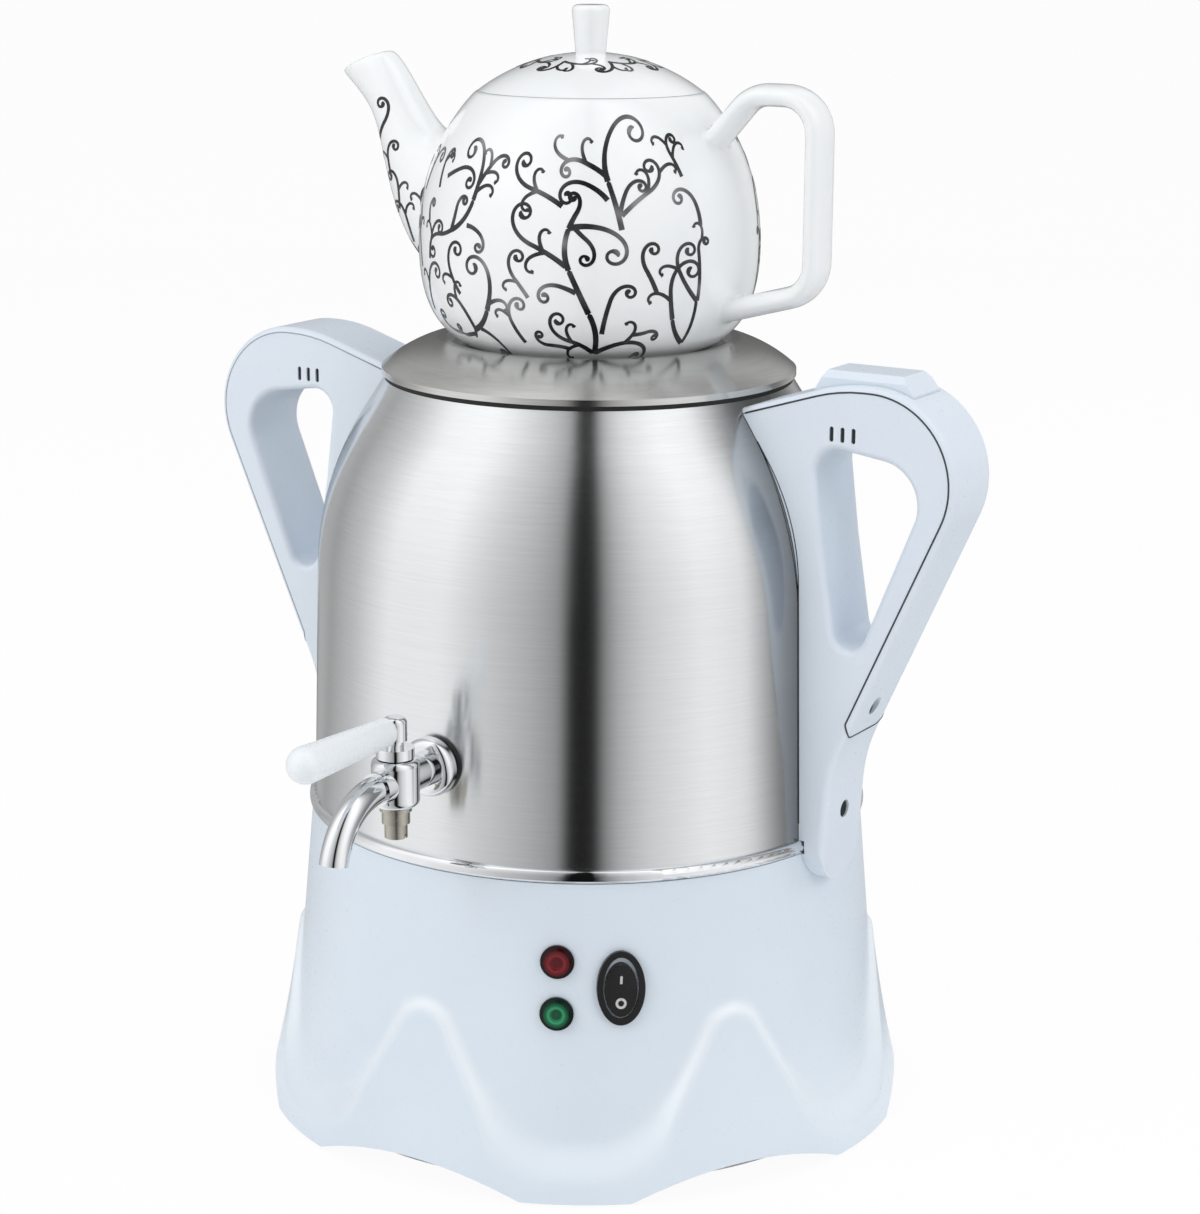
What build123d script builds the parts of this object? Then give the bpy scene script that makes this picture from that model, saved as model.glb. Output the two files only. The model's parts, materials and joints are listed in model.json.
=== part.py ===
"""Electric tea maker: a steel boiler on a moulded base, with a tap, two handles and a porcelain pot."""
import os
from math import asin, atan2, cos, radians, sin, sqrt, tan

from build123d import *

os.makedirs("parts", exist_ok=True)

# Frame: +Z up, origin on the counter under the boiler axis, tap towards -Y, handles along X.
# Lengths in millimetres, angles in degrees. Angles around the axis start at the tap and turn to +X.

# Clearances
FIT_GAP = 0.3
RUN_GAP = 0.05
SEAM_GAP = 0.3
CUT_OVER = 4.0
HALF_TURN = 180.0

# Base moulding
BASE_HEIGHT = 113.0
BASE_LEDGE = 1.0
BASE_WALL_ANGLE = 5.1
BASE_WALL = 2.8
BASE_FOOT_GAP = 1.0
LOBE_COUNT = 6
SKIRT_FLARE = 18.3
SKIRT_STEP = 1.8
SKIRT_HOLLOW = 1.2
ARCH_PEAK_Z = 64.4
ARCH_VALLEY_Z = 14.0
ARCH_FLANK_ANGLE = 59.5
ARCH_TOP_RADIUS = 12.0
ARCH_FOOT_RADIUS = 30.0
EDGE_ARCH_WIDTH = 86.0
EDGE_ARCH_RISE = 9.0
DECK_INSET = 20.7
POST_COUNT = 3
POST_RADIUS = 5.5
POST_LENGTH = 18.0

# Base plate, foot ring and their screws
PLATE_Z = 4.0
PLATE_THICKNESS = 2.5
PLATE_SLOT_COUNT = 12
PLATE_SLOT_RADIUS = 45.0
PLATE_SLOT_LENGTH = 30.0
PLATE_SLOT_WIDTH = 4.0
FOOT_RING_INSET = 11.7
FOOT_RING_WIDTH = 8.0
BASE_SCREW_RADIUS = 1.7
BASE_SCREW_LENGTH = 12.0
BASE_SCREW_HEAD_RADIUS = 3.4
BASE_SCREW_HEAD_HEIGHT = 2.2

# Panel fittings on the base wall
PANEL_ANGLE = 30.0
FLAT_DEPTH = 0.6
LAMP_OFFSET_ANGLE = -3.8
RED_LAMP_DROP = 27.6
GREEN_LAMP_DROP = 46.2
LAMP_HEAD_RADIUS = 6.0
LAMP_HEAD_HEIGHT = 1.6
LAMP_DOME_RADIUS = 4.6
LAMP_DOME_HEIGHT = 2.0
LAMP_DIMPLE_RADIUS = 2.6
LAMP_DIMPLE_DEPTH = 1.0
LAMP_BODY_RADIUS = 4.4
LAMP_BODY_LENGTH = 20.0
LAMP_NUT_RADIUS = 7.0
LAMP_NUT_HEIGHT = 3.0
SWITCH_OFFSET_ANGLE = 8.1
SWITCH_DROP = 36.8
SWITCH_WIDTH = 17.0
SWITCH_HEIGHT = 26.6
SWITCH_RIM = 2.2
SWITCH_FRAME_HEIGHT = 2.4
SWITCH_CASE_WALL = 1.2
SWITCH_CASE_DEPTH = 15.0
ROCKER_GAP = 0.5
ROCKER_END_GAP = 1.5
ROCKER_PIVOT_DEPTH = 3.2
ROCKER_PIN_RADIUS = 1.2
ROCKER_THROW_ANGLE = 16.0
ROCKER_MID_HEIGHT = 4.6
ROCKER_END_HEIGHT = 6.4
ROCKER_SKIRT = 2.4
TERMINAL_COUNT = 3
TERMINAL_PITCH = 6.5
TERMINAL_WIDTH = 4.8
TERMINAL_THICKNESS = 0.8
TERMINAL_LENGTH = 9.0

# Cord gland at the back of the base
GLAND_ANGLE = 210.0
GLAND_Z = 40.0
GLAND_HEAD_RADIUS = 9.0
GLAND_HEAD_HEIGHT = 3.0
GLAND_SLEEVE_RADIUS = 6.5
GLAND_SLEEVE_LENGTH = 12.0
GLAND_BORE_RADIUS = 3.6
GLAND_NUT_RADIUS = 10.0
GLAND_NUT_HEIGHT = 4.0

# Boiler
TRIM_HEIGHT = 5.0
TRIM_PROUD = 1.2
TRIM_WIDTH = 9.0
TRIM_ROUND = 2.2
BOILER_RADIUS = 102.7
BOILER_HEIGHT = 156.0
BOILER_LEAN_ANGLE = 1.5
BOILER_SEAM_RISE = 84.0
SHOULDER_ANGLE = 32.1
SHOULDER_RADIUS = 110.0
MOUTH_INSET = 27.7
RIM_WIDTH = 9.0
SHEET = 1.0
BOILER_LIP_WIDTH = 8.0

# Heater under the boiler floor
FLOOR_RISE = 18.0
FLOOR_THICKNESS = 1.5
FLOOR_FLANGE = 6.0
HEAT_PLATE_INSET = 18.7
HEAT_PLATE_THICKNESS = 4.0
ELEMENT_INSET = 18.0
ELEMENT_TUBE_RADIUS = 4.2
ELEMENT_FLAT = 0.6
ELEMENT_ARC_ANGLE = 320.0
ELEMENT_PIN_ANGLE = 3.0
ELEMENT_PIN_RADIUS = 2.0
ELEMENT_PIN_LENGTH = 16.0
THERMOSTAT_RADIUS = 8.0
THERMOSTAT_HEIGHT = 9.0
THERMOSTAT_FLANGE_RADIUS = 11.0
THERMOSTAT_FLANGE_HEIGHT = 1.5
THERMOSTAT_REACH = 30.0
FUSE_RADIUS = 4.0
FUSE_LENGTH = 22.0
FUSE_REACH = 32.0
STUD_COUNT = 3
STUD_RADIUS = 2.0
STUD_INSET = 13.7
STUD_TAIL = 7.0
STUD_NUT_RADIUS = 4.0
STUD_NUT_HEIGHT = 3.2

# Boiler lid
LID_OVERHANG = 1.0
LID_SEAL_HEIGHT = 1.8
LID_SEAL_WIDTH = 6.5
LID_LIP_HEIGHT = 2.2
LID_CROWN_LAND = 3.2
LID_CROWN_RISE = 10.6
LID_BULGE = 1.6
LID_SEAT_MARGIN = 5.5
LID_SEAT_DROP = 2.3
LID_SHEET = 1.2
LID_PLUG_DEPTH = 12.0
LID_PAN_HOLE_RADIUS = 40.0
STEAM_HOLE_COUNT = 8
STEAM_HOLE_CIRCLE = 22.0
STEAM_HOLE_RADIUS = 3.0

# Tap
TAP_RISE = 33.0
TAP_AXIS_OUT = 23.2
TAP_SHANK_RADIUS = 5.0
TAP_BORE_RADIUS = 3.0
TAP_WASHER_RADIUS = 9.6
TAP_WASHER_THICKNESS = 1.6
TAP_FLANGE_RADIUS = 10.6
TAP_FLANGE_LENGTH = 5.0
TAP_FLANGE_ROUND = 3.2
TAP_NECK_RADIUS = 6.2
TAP_SHANK_INSIDE = 12.0
TAP_BACK_NUT_RADIUS = 9.0
TAP_BACK_NUT_LENGTH = 5.0
TAP_BARREL_RADIUS = 8.4
TAP_BARREL_LENGTH = 17.0
TAP_BARREL_ROUND = 2.4
TAP_OUTLET_LENGTH = 11.5
TAP_OUTLET_RADIUS = 5.8
TAP_SPOUT_RADIUS = 5.0
TAP_SPOUT_WALL = 1.2
TAP_SPOUT_BEND = 25.0
TAP_SPOUT_ANGLE = 78.0
PLUG_RADIUS = 4.6
PLUG_COLLAR_RADIUS = 6.6
PLUG_COLLAR_HEIGHT = 3.6
PLUG_STEM_RADIUS = 3.0
PLUG_HEAD_RADIUS = 4.2
PLUG_HEAD_HEIGHT = 8.4
PLUG_TAIL_RADIUS = 2.6
PLUG_WASHER_RADIUS = 5.6
PLUG_WASHER_HEIGHT = 1.4
PLUG_NUT_RADIUS = 4.9
PLUG_NUT_HEIGHT = 4.4
PLUG_CAP_RADIUS = 4.0
PLUG_CAP_HEIGHT = 5.2
PLUG_SLOT_WIDTH = 1.0
PLUG_SLOT_DEPTH = 1.6
LEVER_RISE = 19.0
LEVER_ROD_RADIUS = 1.8
LEVER_ROD_LENGTH = 22.0
GRIP_START_GAP = 0.6
GRIP_ROOT_RADIUS = 4.9
GRIP_TIP_RADIUS = 6.4
GRIP_LENGTH = 52.0
GRIP_ROOT_ROUND = 1.2

# Handles
HANDLE_WIDTH = 30.8
HANDLE_SET = 4.1
HANDLE_TOP_RISE = 7.5
HANDLE_OUT = 51.5
HANDLE_BEND_RADIUS = 30.3
HANDLE_ELBOW_OUT = 7.3
HANDLE_ELBOW_RISE = 28.0
HANDLE_ELBOW_RADIUS = 60.0
HANDLE_FOOT_OUT = 4.7
HANDLE_FOOT_DROP = 11.5
HANDLE_FOOT_FLAT = 1.2
HANDLE_CREST_RUN = 42.0
HANDLE_CREST_RADIUS = 60.0
HANDLE_ROOT_DROP = 14.4
HANDLE_EDGE_ROUND = 2.4
COVER_THICKNESS = 2.2
COVER_TIP_RISE = 11.5
COVER_TIP_FLAT = 18.0
HOLE_TOP_DROP = 19.2
HOLE_INNER_OUT = -0.2
HOLE_OUTER_WALL = 5.9
HOLE_OUTER_DROP = 25.5
HOLE_WEB_OUT = 4.2
HOLE_WEB_DROP = 54.5
HOLE_TIP_OUT = 12.9
HOLE_TIP_RISE = 28.3
HOLE_CORNER_RADIUS = 8.0
HOLE_WEB_RADIUS = 30.0
HOLE_BEND_RADIUS = 15.0
HOLE_TIP_RADIUS = 6.0
HANDLE_SEAT_GAP = 0.15
VENT_COUNT = 3
VENT_RUN = 40.2
VENT_DROP = 15.1
VENT_PITCH = 4.2
VENT_WIDTH = 1.6
VENT_HEIGHT = 5.4
VENT_DEPTH = 3.0
COVER_SCREW_RISE = 10.1
COVER_SCREW_DEPTH = 4.0
COVER_BOSS_RADIUS = 5.2
COVER_BOSS_DEPTH = 5.6
COVER_SCREW_LENGTH = 6.5
FOOT_SCREW_RISE = 9.5
FOOT_SCREW_DEPTH = 2.6
FOOT_SCREW_LENGTH = 14.0
HANDLE_SCREW_RADIUS = 1.6
HANDLE_SCREW_HEAD_RADIUS = 3.0
HANDLE_SCREW_HEAD_HEIGHT = 1.8
FOOT_NUT_RADIUS = 3.8
FOOT_NUT_HEIGHT = 3.0
PEG_DROP = 58.0
PEG_RADIUS = 2.6
PEG_LENGTH = 3.0

# Thumb button on the right handle
BUTTON_RUN = 54.7
BUTTON_LENGTH = 38.5
BUTTON_WIDTH = 20.6
BUTTON_PROUD = 3.7
BUTTON_BEVEL = 2.4
BUTTON_DEPTH = 7.0
BUTTON_TRAVEL = 2.5
SPRING_RADIUS = 3.2
SPRING_BORE_RADIUS = 2.2
SPRING_LENGTH = 7.0

# Pot, measured from its own foot on the lid
POT_FOOT_RADIUS = 44.5
POT_BELLY_RADIUS = 62.0
POT_BELLY_RISE = 34.0
POT_LOW_RADIUS = 57.0
POT_LOW_RISE = 11.5
POT_HIGH_RADIUS = 57.0
POT_HIGH_RISE = 66.0
POT_MOUTH_RADIUS = 41.0
POT_MOUTH_RISE = 91.0
POT_WALL = 4.0
POT_RIM_WIDTH = 5.0
POT_HANDLE_WIDTH = 16.0
POT_HANDLE_THICKNESS = 8.0
POT_HANDLE_REACH = 92.7
POT_HANDLE_TOP = 92.5
POT_HANDLE_LOW = 25.5
POT_HANDLE_ROOT_RADIUS = 47.0
POT_HANDLE_ROOT_RISE = 70.0
POT_HANDLE_CREST_RADIUS = 67.0
POT_HANDLE_TAIL_RADIUS = 54.0
POT_HANDLE_TAIL_RISE = 15.0
POT_HANDLE_BEND = 13.0
SPOUT_WALL = 3.2
SPOUT_POINT_COUNT = 8
SPOUT_REACHES = (48.0, 71.0, 78.9, 85.4, 98.8)
SPOUT_RISES = (47.0, 57.6, 71.0, 83.5, 98.0)
SPOUT_ANGLES = (10.0, 34.0, 56.0, 52.0, 66.0)
SPOUT_HEIGHTS = (26.0, 19.5, 12.4, 10.2, 10.4)
SPOUT_WIDTHS = (17.0, 14.0, 11.0, 9.4, 8.2)

# Pot lid
POT_LID_INSET = 0.6
POT_LID_RISE = 13.6
POT_LID_WALL = 3.5
POT_LID_COLLAR_WALL = 3.0
POT_LID_COLLAR_DEPTH = 9.0
KNOB_FOOT_RADIUS = 5.3
KNOB_TOP_RADIUS = 7.0
KNOB_HEIGHT = 16.6
KNOB_ROUND = 2.0

# Levels and radii that follow from the sizes above
deck_z = BASE_HEIGHT - BASE_WALL
seat_z = BASE_HEIGHT + TRIM_HEIGHT
rim_z = seat_z + BOILER_HEIGHT
floor_z = seat_z + FLOOR_RISE
heat_z = floor_z - HEAT_PLATE_THICKNESS
base_top_radius = BOILER_RADIUS + BASE_LEDGE
trim_radius = base_top_radius + TRIM_PROUD
skirt_foot_radius = base_top_radius + SKIRT_FLARE
deck_inner_radius = BOILER_RADIUS - DECK_INSET
foot_ring_radius = base_top_radius - FOOT_RING_INSET
heat_plate_radius = BOILER_RADIUS - HEAT_PLATE_INSET
element_radius = heat_plate_radius - ELEMENT_INSET
stud_reach = BOILER_RADIUS - STUD_INSET
mouth_radius = BOILER_RADIUS - MOUTH_INSET
mouth_inner = mouth_radius - RIM_WIDTH
lid_radius = mouth_radius + LID_OVERHANG
lid_seat_radius = POT_FOOT_RADIUS + LID_SEAT_MARGIN
lid_crown_radius = lid_seat_radius + LID_SEAT_DROP + LID_CROWN_LAND
pot_lid_radius = POT_MOUTH_RADIUS - POT_LID_INSET
red_lamp_z = BASE_HEIGHT - RED_LAMP_DROP
green_lamp_z = BASE_HEIGHT - GREEN_LAMP_DROP
switch_z = BASE_HEIGHT - SWITCH_DROP
tap_z = seat_z + TAP_RISE
lever_z = tap_z + LEVER_RISE
plate_top = PLATE_Z + PLATE_THICKNESS
lid_z = rim_z + LID_SEAL_HEIGHT
lid_crown_z = lid_z + LID_LIP_HEIGHT + LID_CROWN_RISE
pot_z = lid_crown_z - LID_SEAT_DROP
pot_lid_z = pot_z + POT_MOUTH_RISE
lobe_pitch = 2 * HALF_TURN / LOBE_COUNT
post_reach_z = plate_top + POST_LENGTH
lean_slope = tan(radians(BOILER_LEAN_ANGLE))
shoulder_slope = tan(radians(SHOULDER_ANGLE))
corner_rise = (mouth_radius - BOILER_RADIUS + BOILER_HEIGHT * shoulder_slope) / (shoulder_slope - lean_slope)
corner_radius = BOILER_RADIUS - corner_rise * lean_slope
corner_z = seat_z + corner_rise
seam_z = seat_z + BOILER_SEAM_RISE
wall_reach = BOILER_RADIUS - TAP_RISE * lean_slope
tap_reach = wall_reach + TAP_AXIS_OUT

# Places on the handles that follow from the boiler
handle_top_z = rim_z + HANDLE_TOP_RISE
cover_z = handle_top_z + COVER_THICKNESS
handle_reach = BOILER_RADIUS + HANDLE_OUT
handle_crest_x = handle_reach - HANDLE_CREST_RUN
handle_elbow_x = BOILER_RADIUS + HANDLE_ELBOW_OUT
handle_elbow_z = seat_z + HANDLE_ELBOW_RISE
handle_foot_x = BOILER_RADIUS + HANDLE_FOOT_OUT
handle_foot_z = BASE_HEIGHT - HANDLE_FOOT_DROP
bend_x = handle_reach - HANDLE_BEND_RADIUS - handle_elbow_x
bend_z = handle_top_z - HANDLE_BEND_RADIUS - handle_elbow_z
handle_lean = atan2(bend_x, bend_z) + asin(HANDLE_BEND_RADIUS / sqrt(bend_x**2 + bend_z**2))
cover_tip_z = handle_elbow_z + COVER_TIP_RISE
cover_screw_z = cover_tip_z + COVER_SCREW_RISE
foot_screw_z = seat_z + FOOT_SCREW_RISE
peg_z = rim_z - PEG_DROP
hole_top_z = handle_top_z - HOLE_TOP_DROP
hole_outer_z = handle_top_z - HOLE_OUTER_DROP
hole_web_z = handle_top_z - HOLE_WEB_DROP
hole_tip_z = handle_elbow_z + HOLE_TIP_RISE
hole_inner_x = BOILER_RADIUS + HOLE_INNER_OUT
hole_web_x = BOILER_RADIUS + HOLE_WEB_OUT
hole_tip_x = BOILER_RADIUS + HOLE_TIP_OUT
hole_outer_x = handle_reach - HOLE_OUTER_WALL
vent_mid_x = handle_reach - VENT_RUN
vent_z = handle_top_z - VENT_DROP
button_start_x = handle_reach - BUTTON_RUN


def base_radius(z):
    """Outer radius of the plain base wall at a height."""
    return base_top_radius + (BASE_HEIGHT - z) * tan(radians(BASE_WALL_ANGLE))


def boiler_radius(z):
    """Outer radius of the straight boiler wall at a height."""
    return BOILER_RADIUS - (z - seat_z) * lean_slope


def facing(angle, z, reach):
    """Plane that faces outwards from the axis, its local y along Z."""
    out_x = sin(radians(angle))
    out_y = -cos(radians(angle))
    return Plane(origin=(reach * out_x, reach * out_y, z), x_dir=(-out_y, out_x, 0), z_dir=(out_x, out_y, 0))


def slice_at(angle):
    """Plane through the axis, its local x pointing outwards and its local y along Z."""
    out_x = sin(radians(angle))
    out_y = -cos(radians(angle))
    return Plane(origin=(0, 0, 0), x_dir=(out_x, out_y, 0), z_dir=(out_y, -out_x, 0))


def on_base(angle, z):
    """Plane of the flat that a fitting has on the sloping base wall."""
    tilt = radians(BASE_WALL_ANGLE)
    level = facing(angle, z, base_radius(z))
    normal = level.z_dir * cos(tilt) + Vector(0, 0, sin(tilt))
    return Plane(origin=level.origin, x_dir=level.x_dir, z_dir=normal).offset(-FLAT_DEPTH)


def behind_wall(plane, half_width):
    """Plane behind the curved base wall, where a flat piece of a half width just clears it."""
    inside = base_radius(plane.origin.Z) - BASE_WALL
    sag = inside - sqrt(inside**2 - half_width**2)
    return plane.offset(FLAT_DEPTH - BASE_WALL - sag - RUN_GAP)


lamp_angle = PANEL_ANGLE + LAMP_OFFSET_ANGLE
switch_angle = PANEL_ANGLE + SWITCH_OFFSET_ANGLE
lamp_planes = (on_base(lamp_angle, red_lamp_z), on_base(lamp_angle, green_lamp_z))
switch_plane = on_base(switch_angle, switch_z)
gland_plane = on_base(GLAND_ANGLE, GLAND_Z)
switch_x = SWITCH_WIDTH / 2
switch_y = SWITCH_HEIGHT / 2
open_x = switch_x - SWITCH_RIM
open_y = switch_y - SWITCH_RIM
case_x = open_x + SWITCH_CASE_WALL
case_y = open_y + SWITCH_CASE_WALL
post_angles = [PANEL_ANGLE + 2 * HALF_TURN * step / POST_COUNT for step in range(POST_COUNT)]
post_reach = base_radius(post_reach_z) - BASE_WALL / 2 - POST_RADIUS
arch_angles = [lobe_pitch * step for step in range(LOBE_COUNT)]
arch_apex_z = ARCH_PEAK_Z - ARCH_TOP_RADIUS + ARCH_TOP_RADIUS / cos(radians(ARCH_FLANK_ANGLE))
arch_foot_x = (arch_apex_z - ARCH_VALLEY_Z) / tan(radians(ARCH_FLANK_ANGLE))
arch_half = skirt_foot_radius * sin(radians(lobe_pitch / 2)) + 2 * CUT_OVER
skirt_top_radius = base_radius(ARCH_PEAK_Z) + SKIRT_STEP
skirt_mid_radius = (skirt_top_radius + skirt_foot_radius) / 2 - SKIRT_HOLLOW
skirt_mid_z = (ARCH_PEAK_Z + BASE_FOOT_GAP) / 2


def skirt_sector(inset):
    """One lobe-to-lobe sector of the flared skirt, its outer face and wave moved in by an inset."""
    with BuildPart() as sector:
        with BuildSketch(slice_at(-lobe_pitch / 2)):
            with BuildLine():
                flare = ThreePointArc(
                    (skirt_top_radius - inset, ARCH_PEAK_Z),
                    (skirt_mid_radius - inset, skirt_mid_z),
                    (skirt_foot_radius - inset, BASE_FOOT_GAP),
                )
                Polyline(
                    flare @ 1,
                    (deck_inner_radius, BASE_FOOT_GAP),
                    (deck_inner_radius, ARCH_PEAK_Z),
                    flare @ 0,
                )
            make_face()
        revolve(axis=Axis.Z, revolution_arc=lobe_pitch)
        with BuildSketch(facing(0, 0, 0)):
            with BuildLine():
                FilletPolyline(
                    (-arch_half, -2 * CUT_OVER),
                    (-arch_half, ARCH_VALLEY_Z),
                    (-arch_foot_x, ARCH_VALLEY_Z),
                    (0, arch_apex_z),
                    (arch_foot_x, ARCH_VALLEY_Z),
                    (arch_half, ARCH_VALLEY_Z),
                    (arch_half, -2 * CUT_OVER),
                    radius=(0, 0, ARCH_FOOT_RADIUS, ARCH_TOP_RADIUS, ARCH_FOOT_RADIUS, 0, 0),
                    close=True,
                )
            make_face()
            if inset:
                offset(amount=-inset)
        extrude(amount=skirt_foot_radius + CUT_OVER, mode=Mode.INTERSECT)
    return sector.part


skirt_outer = skirt_sector(0)
skirt_inner = skirt_sector(BASE_WALL)

# Base shell: sloping wall with a deck, a lobed skirt, screw posts and the panel cut-outs
with BuildPart() as base_shell:
    with BuildSketch(Plane.XZ):
        Polygon(
            (0, BASE_FOOT_GAP),
            (base_radius(BASE_FOOT_GAP), BASE_FOOT_GAP),
            (base_top_radius, BASE_HEIGHT),
            (0, BASE_HEIGHT),
            align=None,
        )
    revolve(axis=Axis.Z)
    with PolarLocations(0, LOBE_COUNT):
        add(skirt_outer)
    with BuildSketch(Plane.XZ):
        Polygon(
            (0, BASE_FOOT_GAP),
            (base_radius(BASE_FOOT_GAP) - BASE_WALL, BASE_FOOT_GAP),
            (base_radius(deck_z) - BASE_WALL, deck_z),
            (0, deck_z),
            align=None,
        )
    revolve(axis=Axis.Z, mode=Mode.SUBTRACT)
    with PolarLocations(0, LOBE_COUNT):
        add(skirt_inner, mode=Mode.SUBTRACT)
    with BuildSketch(Plane.XY.offset(BASE_HEIGHT)):
        Circle(deck_inner_radius)
    extrude(amount=-BASE_WALL - CUT_OVER, mode=Mode.SUBTRACT)
    with BuildSketch(*[facing(angle, BASE_FOOT_GAP, deck_inner_radius) for angle in arch_angles]):
        with BuildLine():
            rise = ThreePointArc((-EDGE_ARCH_WIDTH / 2, 0), (0, EDGE_ARCH_RISE), (EDGE_ARCH_WIDTH / 2, 0))
            Polyline(rise @ 1, (EDGE_ARCH_WIDTH / 2, -CUT_OVER), (-EDGE_ARCH_WIDTH / 2, -CUT_OVER), rise @ 0)
        make_face()
    extrude(amount=skirt_foot_radius, mode=Mode.SUBTRACT)
    with BuildSketch(Plane.XY.offset(plate_top)):
        for angle in post_angles:
            with Locations((post_reach * sin(radians(angle)), -post_reach * cos(radians(angle)))):
                Circle(POST_RADIUS)
    extrude(amount=POST_LENGTH)
    with BuildSketch(Plane.XY.offset(plate_top)):
        for angle in post_angles:
            with Locations((post_reach * sin(radians(angle)), -post_reach * cos(radians(angle)))):
                Circle(BASE_SCREW_RADIUS + RUN_GAP)
    extrude(amount=BASE_SCREW_LENGTH + FIT_GAP, mode=Mode.SUBTRACT)
    with BuildSketch(Plane.XY.offset(BASE_HEIGHT)):
        with PolarLocations(stud_reach, STUD_COUNT):
            Circle(STUD_RADIUS + FIT_GAP)
    extrude(amount=-BASE_WALL - CUT_OVER, mode=Mode.SUBTRACT)
    with BuildSketch(*lamp_planes):
        Circle(LAMP_HEAD_RADIUS + FIT_GAP)
    extrude(amount=CUT_OVER, mode=Mode.SUBTRACT)
    with BuildSketch(*lamp_planes):
        Circle(LAMP_BODY_RADIUS + FIT_GAP)
    extrude(amount=-BASE_WALL - CUT_OVER, mode=Mode.SUBTRACT)
    with BuildSketch(switch_plane):
        Ellipse(switch_x + FIT_GAP, switch_y + FIT_GAP)
    extrude(amount=CUT_OVER, mode=Mode.SUBTRACT)
    with BuildSketch(switch_plane):
        Ellipse(case_x + FIT_GAP, case_y + FIT_GAP)
    extrude(amount=-BASE_WALL - CUT_OVER, mode=Mode.SUBTRACT)
    with BuildSketch(gland_plane):
        Circle(GLAND_HEAD_RADIUS + FIT_GAP)
    extrude(amount=CUT_OVER, mode=Mode.SUBTRACT)
    with BuildSketch(gland_plane):
        Circle(GLAND_SLEEVE_RADIUS + FIT_GAP)
    extrude(amount=-BASE_WALL - CUT_OVER, mode=Mode.SUBTRACT)
base_shell.part.label = "base_shell"
export_step(base_shell.part, "parts/base_shell.step")

# Base plate: slotted disc that closes the base from below
plate_radius = base_radius(plate_top) - BASE_WALL - FIT_GAP
with BuildPart() as base_plate:
    with BuildSketch(Plane.XY.offset(PLATE_Z)):
        Circle(plate_radius)
        with PolarLocations(PLATE_SLOT_RADIUS, PLATE_SLOT_COUNT):
            SlotOverall(PLATE_SLOT_LENGTH, PLATE_SLOT_WIDTH, mode=Mode.SUBTRACT)
        for angle in post_angles:
            with Locations((post_reach * sin(radians(angle)), -post_reach * cos(radians(angle)))):
                Circle(BASE_SCREW_RADIUS + FIT_GAP, mode=Mode.SUBTRACT)
    extrude(amount=PLATE_THICKNESS)
base_plate.part.label = "base_plate"
export_step(base_plate.part, "parts/base_plate.step")

# Foot ring: soft ring that carries the object
with BuildPart() as foot_ring:
    with BuildSketch(Plane.XY):
        Circle(foot_ring_radius + FOOT_RING_WIDTH / 2)
        Circle(foot_ring_radius - FOOT_RING_WIDTH / 2, mode=Mode.SUBTRACT)
    extrude(amount=PLATE_Z)
foot_ring.part.label = "foot_ring"
export_step(foot_ring.part, "parts/foot_ring.step")

# Base screws: from below through the plate into the posts
with BuildPart() as base_screws:
    with BuildSketch(Plane.XY.offset(PLATE_Z)):
        for angle in post_angles:
            with Locations((post_reach * sin(radians(angle)), -post_reach * cos(radians(angle)))):
                Circle(BASE_SCREW_RADIUS)
    extrude(amount=PLATE_THICKNESS + BASE_SCREW_LENGTH)
    with BuildSketch(Plane.XY.offset(PLATE_Z)):
        for angle in post_angles:
            with Locations((post_reach * sin(radians(angle)), -post_reach * cos(radians(angle)))):
                Circle(BASE_SCREW_HEAD_RADIUS)
    extrude(amount=-BASE_SCREW_HEAD_HEIGHT)
base_screws.part.label = "base_screws"
export_step(base_screws.part, "parts/base_screws.step")

# Cord gland: flanged bush in the back of the base
with BuildPart() as cord_gland:
    with BuildSketch(gland_plane):
        Circle(GLAND_HEAD_RADIUS)
    extrude(amount=GLAND_HEAD_HEIGHT)
    with BuildSketch(gland_plane):
        Circle(GLAND_SLEEVE_RADIUS)
    extrude(amount=-GLAND_SLEEVE_LENGTH)
    with BuildSketch(gland_plane.offset(GLAND_HEAD_HEIGHT)):
        Circle(GLAND_BORE_RADIUS)
    extrude(amount=-GLAND_HEAD_HEIGHT - GLAND_SLEEVE_LENGTH, mode=Mode.SUBTRACT)
cord_gland.part.label = "cord_gland"
export_step(cord_gland.part, "parts/cord_gland.step")

# Gland nut: holds the gland from inside the wall
with BuildPart() as gland_nut:
    with BuildSketch(behind_wall(gland_plane, GLAND_NUT_RADIUS)):
        RegularPolygon(GLAND_NUT_RADIUS, 6)
        Circle(GLAND_SLEEVE_RADIUS + RUN_GAP, mode=Mode.SUBTRACT)
    extrude(amount=-GLAND_NUT_HEIGHT)
gland_nut.part.label = "gland_nut"
export_step(gland_nut.part, "parts/gland_nut.step")


def lamp(plane):
    """Stepped lens with a dimple, on a round body behind the wall."""
    with BuildPart() as lens:
        with BuildSketch(plane):
            Circle(LAMP_HEAD_RADIUS)
        extrude(amount=LAMP_HEAD_HEIGHT)
        with BuildSketch(plane.offset(LAMP_HEAD_HEIGHT)):
            Circle(LAMP_DOME_RADIUS)
        extrude(amount=LAMP_DOME_HEIGHT)
        with BuildSketch(plane.offset(LAMP_HEAD_HEIGHT + LAMP_DOME_HEIGHT)):
            Circle(LAMP_DIMPLE_RADIUS)
        extrude(amount=-LAMP_DIMPLE_DEPTH, mode=Mode.SUBTRACT)
        with BuildSketch(plane):
            Circle(LAMP_BODY_RADIUS)
        extrude(amount=-LAMP_BODY_LENGTH)
    return lens.part


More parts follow.
